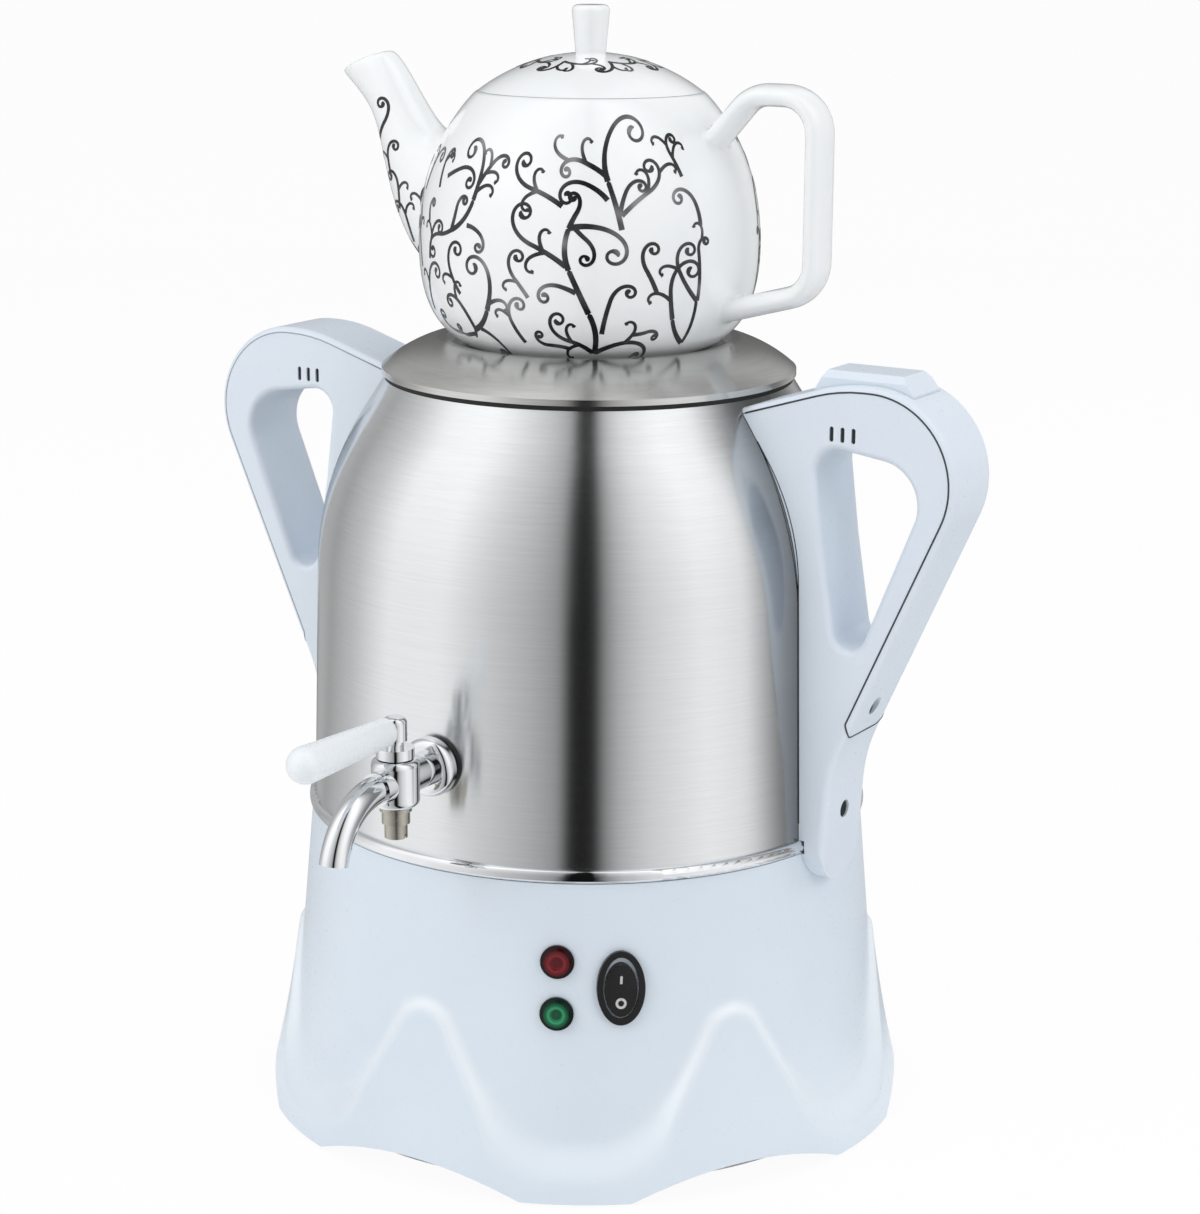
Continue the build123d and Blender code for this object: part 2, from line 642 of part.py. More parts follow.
# Red and green lamps
red_lamp = lamp(lamp_planes[0])
red_lamp.label = "red_lamp"
export_step(red_lamp, "parts/red_lamp.step")
green_lamp = lamp(lamp_planes[1])
green_lamp.label = "green_lamp"
export_step(green_lamp, "parts/green_lamp.step")

# Lamp nuts: hold the lamps from inside the wall
with BuildPart() as lamp_nuts:
    with BuildSketch(*[behind_wall(plane, LAMP_NUT_RADIUS) for plane in lamp_planes]):
        Circle(LAMP_NUT_RADIUS)
        Circle(LAMP_BODY_RADIUS + RUN_GAP, mode=Mode.SUBTRACT)
    extrude(amount=-LAMP_NUT_HEIGHT)
lamp_nuts.part.label = "lamp_nuts"
export_step(lamp_nuts.part, "parts/lamp_nuts.step")

# Switch frame: oval bezel with a closed case behind it
pivot_plane = switch_plane.offset(-ROCKER_PIVOT_DEPTH)
pin_half = open_x + SWITCH_CASE_WALL / 2
pin_plane = Plane(origin=pivot_plane.origin, x_dir=pivot_plane.y_dir, z_dir=pivot_plane.x_dir)
with BuildPart() as switch_frame:
    with BuildSketch(switch_plane):
        Ellipse(switch_x, switch_y)
    extrude(amount=SWITCH_FRAME_HEIGHT)
    with BuildSketch(switch_plane):
        Ellipse(case_x, case_y)
    extrude(amount=-SWITCH_CASE_DEPTH)
    with BuildSketch(switch_plane.offset(SWITCH_FRAME_HEIGHT)):
        Ellipse(open_x, open_y)
    extrude(amount=-SWITCH_FRAME_HEIGHT - SWITCH_CASE_DEPTH + SWITCH_CASE_WALL, mode=Mode.SUBTRACT)
    with BuildSketch(pin_plane):
        Circle(ROCKER_PIN_RADIUS + RUN_GAP)
    extrude(amount=pin_half + FIT_GAP, both=True, mode=Mode.SUBTRACT)
switch_frame.part.label = "switch_frame"
export_step(switch_frame.part, "parts/switch_frame.step")

# Rocker: tilted to the off side, its lower end pressed in
rocker_x = open_x - ROCKER_GAP
rocker_y = open_y - ROCKER_END_GAP
tilt = radians(ROCKER_THROW_ANGLE / 2)
rocker_up = pivot_plane.z_dir * cos(tilt) - pivot_plane.y_dir * sin(tilt)
rocker_plane = Plane(origin=pivot_plane.origin, x_dir=pivot_plane.x_dir, z_dir=rocker_up)
rocker_side = Plane(origin=pivot_plane.origin, x_dir=rocker_plane.y_dir, z_dir=rocker_plane.x_dir)
with BuildPart() as switch_rocker:
    with BuildSketch(rocker_side):
        Polygon(
            (-rocker_y, ROCKER_END_HEIGHT),
            (-rocker_y, -ROCKER_SKIRT),
            (rocker_y, -ROCKER_SKIRT),
            (rocker_y, ROCKER_END_HEIGHT),
            (0, ROCKER_MID_HEIGHT),
            align=None,
        )
    extrude(amount=rocker_x, both=True)
    with BuildSketch(rocker_plane):
        Ellipse(rocker_x, rocker_y)
    extrude(amount=ROCKER_END_HEIGHT + CUT_OVER, both=True, mode=Mode.INTERSECT)
    with BuildSketch(pin_plane):
        Circle(ROCKER_PIN_RADIUS)
    extrude(amount=pin_half, both=True)
switch_rocker.part.label = "switch_rocker"
export_step(switch_rocker.part, "parts/switch_rocker.step")

# Switch terminals: blades on the back of the case
with BuildPart() as switch_terminals:
    with BuildSketch(switch_plane.offset(-SWITCH_CASE_DEPTH)):
        with GridLocations(TERMINAL_PITCH, TERMINAL_PITCH, 1, TERMINAL_COUNT):
            Rectangle(TERMINAL_WIDTH, TERMINAL_THICKNESS)
    extrude(amount=-TERMINAL_LENGTH)
switch_terminals.part.label = "switch_terminals"
export_step(switch_terminals.part, "parts/switch_terminals.step")

# Trim ring: polished bead between base and boiler
with BuildPart() as trim_ring:
    with BuildSketch(Plane.XZ):
        with BuildLine():
            FilletPolyline(
                (trim_radius - TRIM_WIDTH, BASE_HEIGHT),
                (trim_radius, BASE_HEIGHT),
                (trim_radius, seat_z),
                (trim_radius - TRIM_WIDTH, seat_z),
                radius=(0, TRIM_ROUND, TRIM_ROUND, 0),
                close=True,
            )
        make_face()
    revolve(axis=Axis.Z)
trim_ring.part.label = "trim_ring"
export_step(trim_ring.part, "parts/trim_ring.step")

# Boiler envelope: what the handles and the tap washer close on, used for cutting only
with BuildPart() as boiler_envelope:
    with BuildSketch(Plane.XZ):
        with BuildLine():
            wall = FilletPolyline(
                (BOILER_RADIUS + HANDLE_SEAT_GAP, seat_z),
                (corner_radius + HANDLE_SEAT_GAP, corner_z),
                (mouth_radius + HANDLE_SEAT_GAP, rim_z),
                radius=SHOULDER_RADIUS,
            )
            Polyline(
                wall @ 0,
                (trim_radius + HANDLE_SEAT_GAP, seat_z),
                (trim_radius + HANDLE_SEAT_GAP, BASE_HEIGHT),
                (base_top_radius + HANDLE_SEAT_GAP, BASE_HEIGHT),
                (base_radius(0) + HANDLE_SEAT_GAP, 0),
                (0, 0),
                (0, 2 * rim_z),
                (lid_radius + 2 * FIT_GAP, 2 * rim_z),
                (lid_radius + 2 * FIT_GAP, rim_z),
                wall @ 1,
            )
        make_face()
    revolve(axis=Axis.Z)

# Boiler sheet: wall and shoulder in one form, cut apart at their welded seam below
with BuildPart() as boiler_sheet:
    with BuildSketch(Plane.XZ):
        with BuildLine():
            outside = FilletPolyline(
                (BOILER_RADIUS - BOILER_LIP_WIDTH, seat_z),
                (BOILER_RADIUS, seat_z),
                (corner_radius, corner_z),
                (mouth_radius, rim_z),
                (mouth_inner, rim_z),
                radius=(0, SHOULDER_RADIUS, 0),
            )
            inside = FilletPolyline(
                (BOILER_RADIUS - BOILER_LIP_WIDTH, seat_z + SHEET),
                (BOILER_RADIUS - SHEET, seat_z + SHEET),
                (corner_radius - SHEET, corner_z),
                (mouth_radius - SHEET, rim_z - SHEET),
                (mouth_inner, rim_z - SHEET),
                radius=(0, SHOULDER_RADIUS - SHEET, 0),
            )
            Line(outside @ 0, inside @ 0)
            Line(outside @ 1, inside @ 1)
        make_face()
    revolve(axis=Axis.Z)

# Boiler shell: the straight wall, with a lip at the bottom and the holes for tap and handle screws
with BuildPart() as boiler_shell:
    add(boiler_sheet.part)
    split(bisect_by=Plane.XY.offset(seam_z), keep=Keep.BOTTOM)
    with BuildSketch(facing(0, tap_z, 0)):
        Circle(TAP_SHANK_RADIUS + FIT_GAP)
    extrude(amount=2 * BOILER_RADIUS, mode=Mode.SUBTRACT)
    with BuildSketch(Plane.YZ):
        with Locations((-HANDLE_SET, foot_screw_z)):
            Circle(HANDLE_SCREW_RADIUS + FIT_GAP)
    extrude(amount=2 * BOILER_RADIUS, both=True, mode=Mode.SUBTRACT)
boiler_shell.part.label = "boiler_shell"
export_step(boiler_shell.part, "parts/boiler_shell.step")

# Boiler shoulder: drawn cap on the wall, with a flat rim at the mouth
with BuildPart() as boiler_shoulder:
    add(boiler_sheet.part)
    split(bisect_by=Plane.XY.offset(seam_z), keep=Keep.TOP)
boiler_shoulder.part.label = "boiler_shoulder"
export_step(boiler_shoulder.part, "parts/boiler_shoulder.step")

# Boiler floor: dished plate welded inside the wall above the dry skirt
floor_radius = boiler_radius(floor_z + FLOOR_FLANGE) - SHEET - HANDLE_SEAT_GAP
with BuildPart() as boiler_floor:
    with BuildSketch(Plane.XY.offset(floor_z)):
        Circle(floor_radius)
    extrude(amount=FLOOR_THICKNESS)
    with BuildSketch(Plane.XY.offset(floor_z)):
        Circle(floor_radius)
        Circle(floor_radius - FLOOR_THICKNESS, mode=Mode.SUBTRACT)
    extrude(amount=FLOOR_FLANGE)
boiler_floor.part.label = "boiler_floor"
export_step(boiler_floor.part, "parts/boiler_floor.step")

# Heat plate: aluminium disc under the floor
with BuildPart() as heat_plate:
    with BuildSketch(Plane.XY.offset(heat_z)):
        Circle(heat_plate_radius)
    extrude(amount=HEAT_PLATE_THICKNESS)
heat_plate.part.label = "heat_plate"
export_step(heat_plate.part, "parts/heat_plate.step")

# Heating element: open ring of tube with its top pressed flat on the plate, and two pins
element_z = heat_z - ELEMENT_TUBE_RADIUS + ELEMENT_FLAT
element_gap = 2 * HALF_TURN - ELEMENT_ARC_ANGLE
with BuildPart() as heating_element:
    with BuildSketch(slice_at(HALF_TURN + element_gap / 2)):
        with Locations((element_radius, element_z)):
            Circle(ELEMENT_TUBE_RADIUS)
    revolve(axis=Axis.Z, revolution_arc=ELEMENT_ARC_ANGLE)
    with BuildSketch(Plane.XY.offset(heat_z)):
        Circle(element_radius + 2 * ELEMENT_TUBE_RADIUS)
    extrude(amount=CUT_OVER, mode=Mode.SUBTRACT)
    with BuildSketch(Plane.XY.offset(element_z)):
        for side in (-1, 1):
            turn = radians(HALF_TURN + side * (element_gap / 2 + ELEMENT_PIN_ANGLE))
            with Locations((element_radius * sin(turn), -element_radius * cos(turn))):
                Circle(ELEMENT_PIN_RADIUS)
    extrude(amount=-ELEMENT_PIN_LENGTH)
heating_element.part.label = "heating_element"
export_step(heating_element.part, "parts/heating_element.step")


def thermostat(x):
    """Snap-disc thermostat on the underside of the heat plate."""
    with BuildPart() as disc:
        with BuildSketch(Plane.XY.offset(heat_z)):
            with Locations((x, 0)):
                Circle(THERMOSTAT_FLANGE_RADIUS)
        extrude(amount=-THERMOSTAT_FLANGE_HEIGHT)
        with BuildSketch(Plane.XY.offset(heat_z - THERMOSTAT_FLANGE_HEIGHT)):
            with Locations((x, 0)):
                Circle(THERMOSTAT_RADIUS)
        extrude(amount=-THERMOSTAT_HEIGHT)
    return disc.part


# Boil and keep-warm thermostats
boil_thermostat = thermostat(-THERMOSTAT_REACH)
boil_thermostat.label = "boil_thermostat"
export_step(boil_thermostat, "parts/boil_thermostat.step")
warm_thermostat = thermostat(THERMOSTAT_REACH)
warm_thermostat.label = "warm_thermostat"
export_step(warm_thermostat, "parts/warm_thermostat.step")

# Thermal fuse: cartridge lying on the heat plate
with BuildPart() as thermal_fuse:
    with BuildSketch(Plane.YZ):
        with Locations((-FUSE_REACH, heat_z - FUSE_RADIUS)):
            Circle(FUSE_RADIUS)
            Rectangle(FUSE_RADIUS, FUSE_RADIUS, align=(Align.CENTER, Align.MIN))
    extrude(amount=FUSE_LENGTH / 2, both=True)
thermal_fuse.part.label = "thermal_fuse"
export_step(thermal_fuse.part, "parts/thermal_fuse.step")

# Tie studs: weld studs from the floor down through the deck
stud_length = floor_z - deck_z + STUD_TAIL
with BuildPart() as tie_studs:
    with BuildSketch(Plane.XY.offset(floor_z)):
        with PolarLocations(stud_reach, STUD_COUNT):
            Circle(STUD_RADIUS)
    extrude(amount=-stud_length)
tie_studs.part.label = "tie_studs"
export_step(tie_studs.part, "parts/tie_studs.step")

# Tie nuts: pull the boiler down on the base
with BuildPart() as tie_nuts:
    with BuildSketch(Plane.XY.offset(deck_z)):
        with PolarLocations(stud_reach, STUD_COUNT):
            RegularPolygon(STUD_NUT_RADIUS, 6)
            Circle(STUD_RADIUS + RUN_GAP, mode=Mode.SUBTRACT)
    extrude(amount=-STUD_NUT_HEIGHT)
tie_nuts.part.label = "tie_nuts"
export_step(tie_nuts.part, "parts/tie_nuts.step")

# Lid cover: formed sheet with a rolled lip, a crown and a sunk seat for the pot
lid_top_z = lid_z + LID_LIP_HEIGHT
crown_edge = lid_seat_radius + LID_SEAT_DROP
with BuildPart() as lid_cover:
    with BuildSketch(Plane.XZ):
        with BuildLine():
            upper = ThreePointArc(
                (lid_radius, lid_top_z),
                ((lid_radius + lid_crown_radius) / 2, (lid_top_z + lid_crown_z) / 2 + LID_BULGE),
                (lid_crown_radius, lid_crown_z),
            )
            lower = ThreePointArc(
                (lid_crown_radius, lid_crown_z - LID_SHEET),
                ((lid_radius + lid_crown_radius) / 2, (lid_top_z + lid_crown_z) / 2 + LID_BULGE - LID_SHEET),
                (lid_radius - LID_SHEET, lid_top_z - LID_SHEET / 2),
            )
            Polyline(
                upper @ 1,
                (crown_edge, lid_crown_z),
                (lid_seat_radius, pot_z),
                (0, pot_z),
                (0, pot_z - LID_SHEET),
                (lid_seat_radius + LID_SHEET / 2, pot_z - LID_SHEET),
                (crown_edge + LID_SHEET / 2, lid_crown_z - LID_SHEET),
                lower @ 0,
            )
            Polyline(lower @ 1, (lid_radius - LID_SHEET, lid_z), (lid_radius, lid_z), upper @ 0)
        make_face()
    revolve(axis=Axis.Z)
    with BuildSketch(Plane.XY.offset(pot_z)):
        with PolarLocations(STEAM_HOLE_CIRCLE, STEAM_HOLE_COUNT):
            Circle(STEAM_HOLE_RADIUS)
    extrude(amount=-LID_SHEET - CUT_OVER, mode=Mode.SUBTRACT)
lid_cover.part.label = "lid_cover"
export_step(lid_cover.part, "parts/lid_cover.step")

# Lid pan: flange crimped in the lip, with a plug ring that centres the lid in the mouth
plug_radius = mouth_inner - 2 * FIT_GAP
with BuildPart() as lid_pan:
    with BuildSketch(Plane.XZ):
        Polygon(
            (lid_radius - LID_SHEET - RUN_GAP, lid_z),
            (lid_radius - LID_SHEET - RUN_GAP, lid_z + LID_SHEET),
            (plug_radius - LID_SHEET, lid_z + LID_SHEET),
            (plug_radius - LID_SHEET, lid_z - LID_PLUG_DEPTH + LID_SHEET),
            (LID_PAN_HOLE_RADIUS, lid_z - LID_PLUG_DEPTH + LID_SHEET),
            (LID_PAN_HOLE_RADIUS, lid_z - LID_PLUG_DEPTH),
            (plug_radius, lid_z - LID_PLUG_DEPTH),
            (plug_radius, lid_z),
            align=None,
        )
    revolve(axis=Axis.Z)
lid_pan.part.label = "lid_pan"
export_step(lid_pan.part, "parts/lid_pan.step")

# Lid seal: soft ring between the lid and the boiler rim
with BuildPart() as lid_seal:
    with BuildSketch(Plane.XY.offset(rim_z)):
        Circle(mouth_radius - FIT_GAP)
        Circle(mouth_radius - FIT_GAP - LID_SEAL_WIDTH, mode=Mode.SUBTRACT)
    extrude(amount=LID_SEAL_HEIGHT)
lid_seal.part.label = "lid_seal"
export_step(lid_seal.part, "parts/lid_seal.step")

# Tap washer: soft ring shaped to the boiler wall
flange_reach = wall_reach + TAP_WASHER_THICKNESS
neck_reach = flange_reach + TAP_FLANGE_LENGTH
barrel_low = tap_z - TAP_BARREL_LENGTH / 2
barrel_high = tap_z + TAP_BARREL_LENGTH / 2
with BuildPart() as tap_washer:
    with BuildSketch(facing(0, tap_z, flange_reach)):
        Circle(TAP_WASHER_RADIUS)
        Circle(TAP_SHANK_RADIUS + RUN_GAP, mode=Mode.SUBTRACT)
    extrude(amount=-TAP_WASHER_THICKNESS - CUT_OVER)
    add(boiler_envelope.part, mode=Mode.SUBTRACT)
tap_washer.part.label = "tap_washer"
export_step(tap_washer.part, "parts/tap_washer.step")

# Tap flange: rounded escutcheon
with BuildPart() as tap_flange:
    with BuildSketch(facing(0, tap_z, flange_reach)):
        Circle(TAP_FLANGE_RADIUS)
    extrude(amount=TAP_FLANGE_LENGTH)
    fillet(tap_flange.edges().group_by(Axis.Y)[0], TAP_FLANGE_ROUND)
    with BuildSketch(facing(0, tap_z, flange_reach)):
        Circle(TAP_SHANK_RADIUS + RUN_GAP)
    extrude(amount=TAP_FLANGE_LENGTH, mode=Mode.SUBTRACT)
tap_flange.part.label = "tap_flange"
export_step(tap_flange.part, "parts/tap_flange.step")

# Tap body: threaded shank, neck, upright valve barrel and outlet boss
with BuildPart() as tap_body:
    with BuildSketch(Plane.XY.offset(barrel_low)):
        with Locations((0, -tap_reach)):
            Circle(TAP_BARREL_RADIUS)
    extrude(amount=TAP_BARREL_LENGTH)
    fillet(tap_body.edges(), TAP_BARREL_ROUND)
    with BuildSketch(facing(0, tap_z, wall_reach - TAP_SHANK_INSIDE)):
        Circle(TAP_SHANK_RADIUS)
    extrude(amount=TAP_SHANK_INSIDE + neck_reach - wall_reach)
    with BuildSketch(facing(0, tap_z, neck_reach)):
        Circle(TAP_NECK_RADIUS)
    extrude(amount=tap_reach - neck_reach)
    with BuildSketch(facing(0, tap_z, tap_reach)):
        Circle(TAP_OUTLET_RADIUS)
    extrude(amount=TAP_OUTLET_LENGTH)
    with BuildSketch(facing(0, tap_z, wall_reach - TAP_SHANK_INSIDE)):
        Circle(TAP_BORE_RADIUS)
    extrude(amount=2 * tap_reach, mode=Mode.SUBTRACT)
    with BuildSketch(Plane.XY.offset(barrel_low)):
        with Locations((0, -tap_reach)):
            Circle(PLUG_RADIUS + RUN_GAP)
    extrude(amount=TAP_BARREL_LENGTH, mode=Mode.SUBTRACT)
tap_body.part.label = "tap_body"
export_step(tap_body.part, "parts/tap_body.step")

# Tap spout: bent tube on the outlet boss
spout_start = tap_reach + TAP_OUTLET_LENGTH
with BuildPart() as tap_spout:
    with BuildSketch(facing(0, tap_z, spout_start)):
        Circle(TAP_SPOUT_RADIUS)
        Circle(TAP_SPOUT_RADIUS - TAP_SPOUT_WALL, mode=Mode.SUBTRACT)
    revolve(
        axis=Axis((0, -spout_start, tap_z - TAP_SPOUT_BEND), (1, 0, 0)),
        revolution_arc=TAP_SPOUT_ANGLE,
    )
tap_spout.part.label = "tap_spout"
export_step(tap_spout.part, "parts/tap_spout.step")

# Tap back nut: inside the boiler
back_nut_reach = sqrt((wall_reach - SHEET) ** 2 - TAP_BACK_NUT_RADIUS**2) - FIT_GAP
with BuildPart() as tap_back_nut:
    with BuildSketch(facing(0, tap_z, back_nut_reach)):
        RegularPolygon(TAP_BACK_NUT_RADIUS, 6)
        Circle(TAP_SHANK_RADIUS + RUN_GAP, mode=Mode.SUBTRACT)
    extrude(amount=-TAP_BACK_NUT_LENGTH)
tap_back_nut.part.label = "tap_back_nut"
export_step(tap_back_nut.part, "parts/tap_back_nut.step")

# Tap plug: turning core with its cross bore shut, collar, stem, head and threaded tail
tail_length = FIT_GAP + PLUG_WASHER_HEIGHT + PLUG_NUT_HEIGHT
head_low = lever_z - PLUG_HEAD_HEIGHT / 2
with BuildPart() as tap_plug:
    with BuildSketch(Plane.XY.offset(head_low)):
        with Locations((0, -tap_reach)):
            Circle(PLUG_HEAD_RADIUS)
    extrude(amount=PLUG_HEAD_HEIGHT)
    fillet(tap_plug.edges().group_by(Axis.Z)[-1], PLUG_HEAD_RADIUS / 2)
    with BuildSketch(Plane.XY.offset(barrel_low)):
        with Locations((0, -tap_reach)):
            Circle(PLUG_RADIUS)
    extrude(amount=TAP_BARREL_LENGTH + FIT_GAP)
    with BuildSketch(Plane.XY.offset(barrel_high + FIT_GAP)):
        with Locations((0, -tap_reach)):
            Circle(PLUG_COLLAR_RADIUS)
    extrude(amount=PLUG_COLLAR_HEIGHT)
    with BuildSketch(Plane.XY.offset(barrel_high)):
        with Locations((0, -tap_reach)):
            Circle(PLUG_STEM_RADIUS)
    extrude(amount=head_low - barrel_high)
    with BuildSketch(Plane.XY.offset(barrel_low)):
        with Locations((0, -tap_reach)):
            Circle(PLUG_TAIL_RADIUS)
    extrude(amount=-tail_length)
    with BuildSketch(Plane.YZ):
        with Locations((-tap_reach, tap_z)):
            Circle(TAP_BORE_RADIUS)
    extrude(amount=PLUG_RADIUS + CUT_OVER, both=True, mode=Mode.SUBTRACT)
    with BuildSketch(facing(0, lever_z, tap_reach)):
        Circle(LEVER_ROD_RADIUS + RUN_GAP)
    extrude(amount=PLUG_HEAD_RADIUS + CUT_OVER, mode=Mode.SUBTRACT)
tap_plug.part.label = "tap_plug"
export_step(tap_plug.part, "parts/tap_plug.step")

# Plug washer and slotted plug nut under the barrel
washer_top = barrel_low - FIT_GAP
nut_top = washer_top - PLUG_WASHER_HEIGHT
with BuildPart() as plug_washer:
    with BuildSketch(Plane.XY.offset(washer_top)):
        with Locations((0, -tap_reach)):
            Circle(PLUG_WASHER_RADIUS)
            Circle(PLUG_TAIL_RADIUS + RUN_GAP, mode=Mode.SUBTRACT)
    extrude(amount=-PLUG_WASHER_HEIGHT)
plug_washer.part.label = "plug_washer"
export_step(plug_washer.part, "parts/plug_washer.step")
with BuildPart() as plug_nut:
    with BuildSketch(Plane.XY.offset(nut_top)):
        with Locations((0, -tap_reach)):
            Circle(PLUG_NUT_RADIUS)
            Circle(PLUG_TAIL_RADIUS + RUN_GAP, mode=Mode.SUBTRACT)
    extrude(amount=-PLUG_NUT_HEIGHT)
    with BuildSketch(Plane.XY.offset(nut_top - PLUG_NUT_HEIGHT)):
        with Locations((0, -tap_reach)):
            Circle(PLUG_CAP_RADIUS)
    extrude(amount=-PLUG_CAP_HEIGHT)
    with BuildSketch(Plane.XY.offset(nut_top - PLUG_NUT_HEIGHT - PLUG_CAP_HEIGHT)):
        with Locations((0, -tap_reach)):
            Rectangle(2 * PLUG_NUT_RADIUS, PLUG_SLOT_WIDTH)
    extrude(amount=PLUG_SLOT_DEPTH, mode=Mode.SUBTRACT)
plug_nut.part.label = "plug_nut"
export_step(plug_nut.part, "parts/plug_nut.step")

# Lever rod and lever grip
grip_start = tap_reach + PLUG_HEAD_RADIUS + GRIP_START_GAP
grip_end = grip_start + GRIP_LENGTH
rod_end = tap_reach + LEVER_ROD_LENGTH
tip_bend = GRIP_TIP_RADIUS * sqrt(2) / 2
with BuildPart() as lever_rod:
    with BuildSketch(facing(0, lever_z, tap_reach + FIT_GAP)):
        Circle(LEVER_ROD_RADIUS)
    extrude(amount=LEVER_ROD_LENGTH - FIT_GAP)
lever_rod.part.label = "lever_rod"
export_step(lever_rod.part, "parts/lever_rod.step")
with BuildPart() as lever_grip:
    with BuildSketch(slice_at(0)):
        with BuildLine():
            tip = ThreePointArc(
                (grip_end - GRIP_TIP_RADIUS, lever_z + GRIP_TIP_RADIUS),
                (grip_end - GRIP_TIP_RADIUS + tip_bend, lever_z + tip_bend),
                (grip_end, lever_z),
            )
            Polyline(tip @ 1, (grip_start, lever_z), (grip_start, lever_z + GRIP_ROOT_RADIUS), tip @ 0)
        make_face()
    revolve(axis=Axis((0, 0, lever_z), (0, -1, 0)))
    fillet(lever_grip.edges().group_by(Axis.Y)[-1], GRIP_ROOT_ROUND)
    with BuildSketch(facing(0, lever_z, grip_start)):
        Circle(LEVER_ROD_RADIUS + RUN_GAP)
    extrude(amount=rod_end - grip_start + FIT_GAP, mode=Mode.SUBTRACT)
lever_grip.part.label = "lever_grip"
export_step(lever_grip.part, "parts/lever_grip.step")


def handle_line(grow):
    """Corners of the handle's outer line in the XZ plane, the line moved outwards by a length."""
    bend = HANDLE_BEND_RADIUS + grow
    top = handle_top_z + grow
    corner_x = handle_reach + grow - bend + bend * (1 + sin(handle_lean)) / cos(handle_lean)
    elbow_x = corner_x - (top - handle_elbow_z) * tan(handle_lean)
    return (
        (mouth_inner, top - HANDLE_ROOT_DROP),
        (handle_crest_x, top),
        (corner_x, top),
        (elbow_x, handle_elbow_z),
        (handle_foot_x + grow, handle_foot_z),
    )


def handle_bends(grow):
    """Bend radii at the inner corners of the handle's outer line."""
    return (HANDLE_CREST_RADIUS, HANDLE_BEND_RADIUS + grow, HANDLE_ELBOW_RADIUS)


def tongue_sketch(tip_z, flat):
    """Upright strip with a flat lower end between two round corners, seen along X."""
    corner = (HANDLE_WIDTH - flat) / 2
    with BuildSketch(Plane.YZ) as strip:
        with Locations((-HANDLE_SET, tip_z)):
            Rectangle(flat, handle_top_z, align=(Align.CENTER, Align.MIN))
        with Locations((-HANDLE_SET, tip_z + corner)):
            Rectangle(2 * HANDLE_WIDTH, handle_top_z, align=(Align.CENTER, Align.MIN))
        for side in (-1, 1):
            with Locations((side * flat / 2 - HANDLE_SET, tip_z + corner)):
                Circle(corner)
    return strip.sketch


def cover_zone(gap):
    """Room outside the seam line, above the lower end of the cover, with the screw boss."""
    line = handle_line(gap)
    tongue = tongue_sketch(cover_tip_z + gap, COVER_TIP_FLAT)
    with BuildPart() as zone:
        with BuildSketch(Plane.XZ.offset(HANDLE_SET)):
            with BuildLine():
                seam = FilletPolyline(*line, radius=handle_bends(gap))
                Polyline(
                    seam @ 1,
                    (2 * handle_reach, handle_foot_z),
                    (2 * handle_reach, 2 * handle_top_z),
                    (mouth_inner, 2 * handle_top_z),
                    seam @ 0,
                )
            make_face()
        extrude(amount=HANDLE_WIDTH, both=True)
        extrude(tongue, amount=2 * handle_reach, mode=Mode.INTERSECT)
        with BuildSketch(Plane.YZ.offset(cover_face_x - COVER_BOSS_DEPTH + gap)):
            with Locations((-HANDLE_SET, cover_screw_z)):
                Circle(COVER_BOSS_RADIUS - gap)
        extrude(amount=handle_reach)
    return zone.part


foot_tongue = tongue_sketch(handle_foot_z, HANDLE_FOOT_FLAT)
cover_line = handle_line(COVER_THICKNESS)
cover_lean = tan(handle_lean)
cover_face_x = cover_line[2][0] - (cover_line[2][1] - cover_screw_z) * cover_lean
cover_seat_x = cover_face_x - COVER_SCREW_DEPTH
foot_share = (foot_screw_z - handle_foot_z) / (handle_elbow_z - handle_foot_z)
foot_face_x = cover_line[4][0] + (cover_line[3][0] - cover_line[4][0]) * foot_share
foot_seat_x = foot_face_x - FOOT_SCREW_DEPTH

# Handle blank: full outline with the finger hole and a round foot, used for cutting the pieces
with BuildPart() as handle_blank:
    with BuildSketch(Plane.XZ.offset(HANDLE_SET)):
        with BuildLine():
            back = FilletPolyline(*cover_line, radius=handle_bends(COVER_THICKNESS))
            Polyline(back @ 1, (mouth_inner, handle_foot_z), back @ 0)
        make_face()
        with BuildLine():
            FilletPolyline(
                (hole_inner_x, hole_top_z),
                (hole_web_x, hole_web_z),
                (hole_tip_x, hole_tip_z),
                (hole_outer_x, hole_outer_z),
                radius=(HOLE_CORNER_RADIUS, HOLE_WEB_RADIUS, HOLE_TIP_RADIUS, HOLE_BEND_RADIUS),
                close=True,
            )
        make_face(mode=Mode.SUBTRACT)
    extrude(amount=HANDLE_WIDTH / 2, both=True)
    fillet(handle_blank.faces().filter_by(Axis.Y).edges(), HANDLE_EDGE_ROUND)
    extrude(foot_tongue, amount=2 * handle_reach, mode=Mode.INTERSECT)

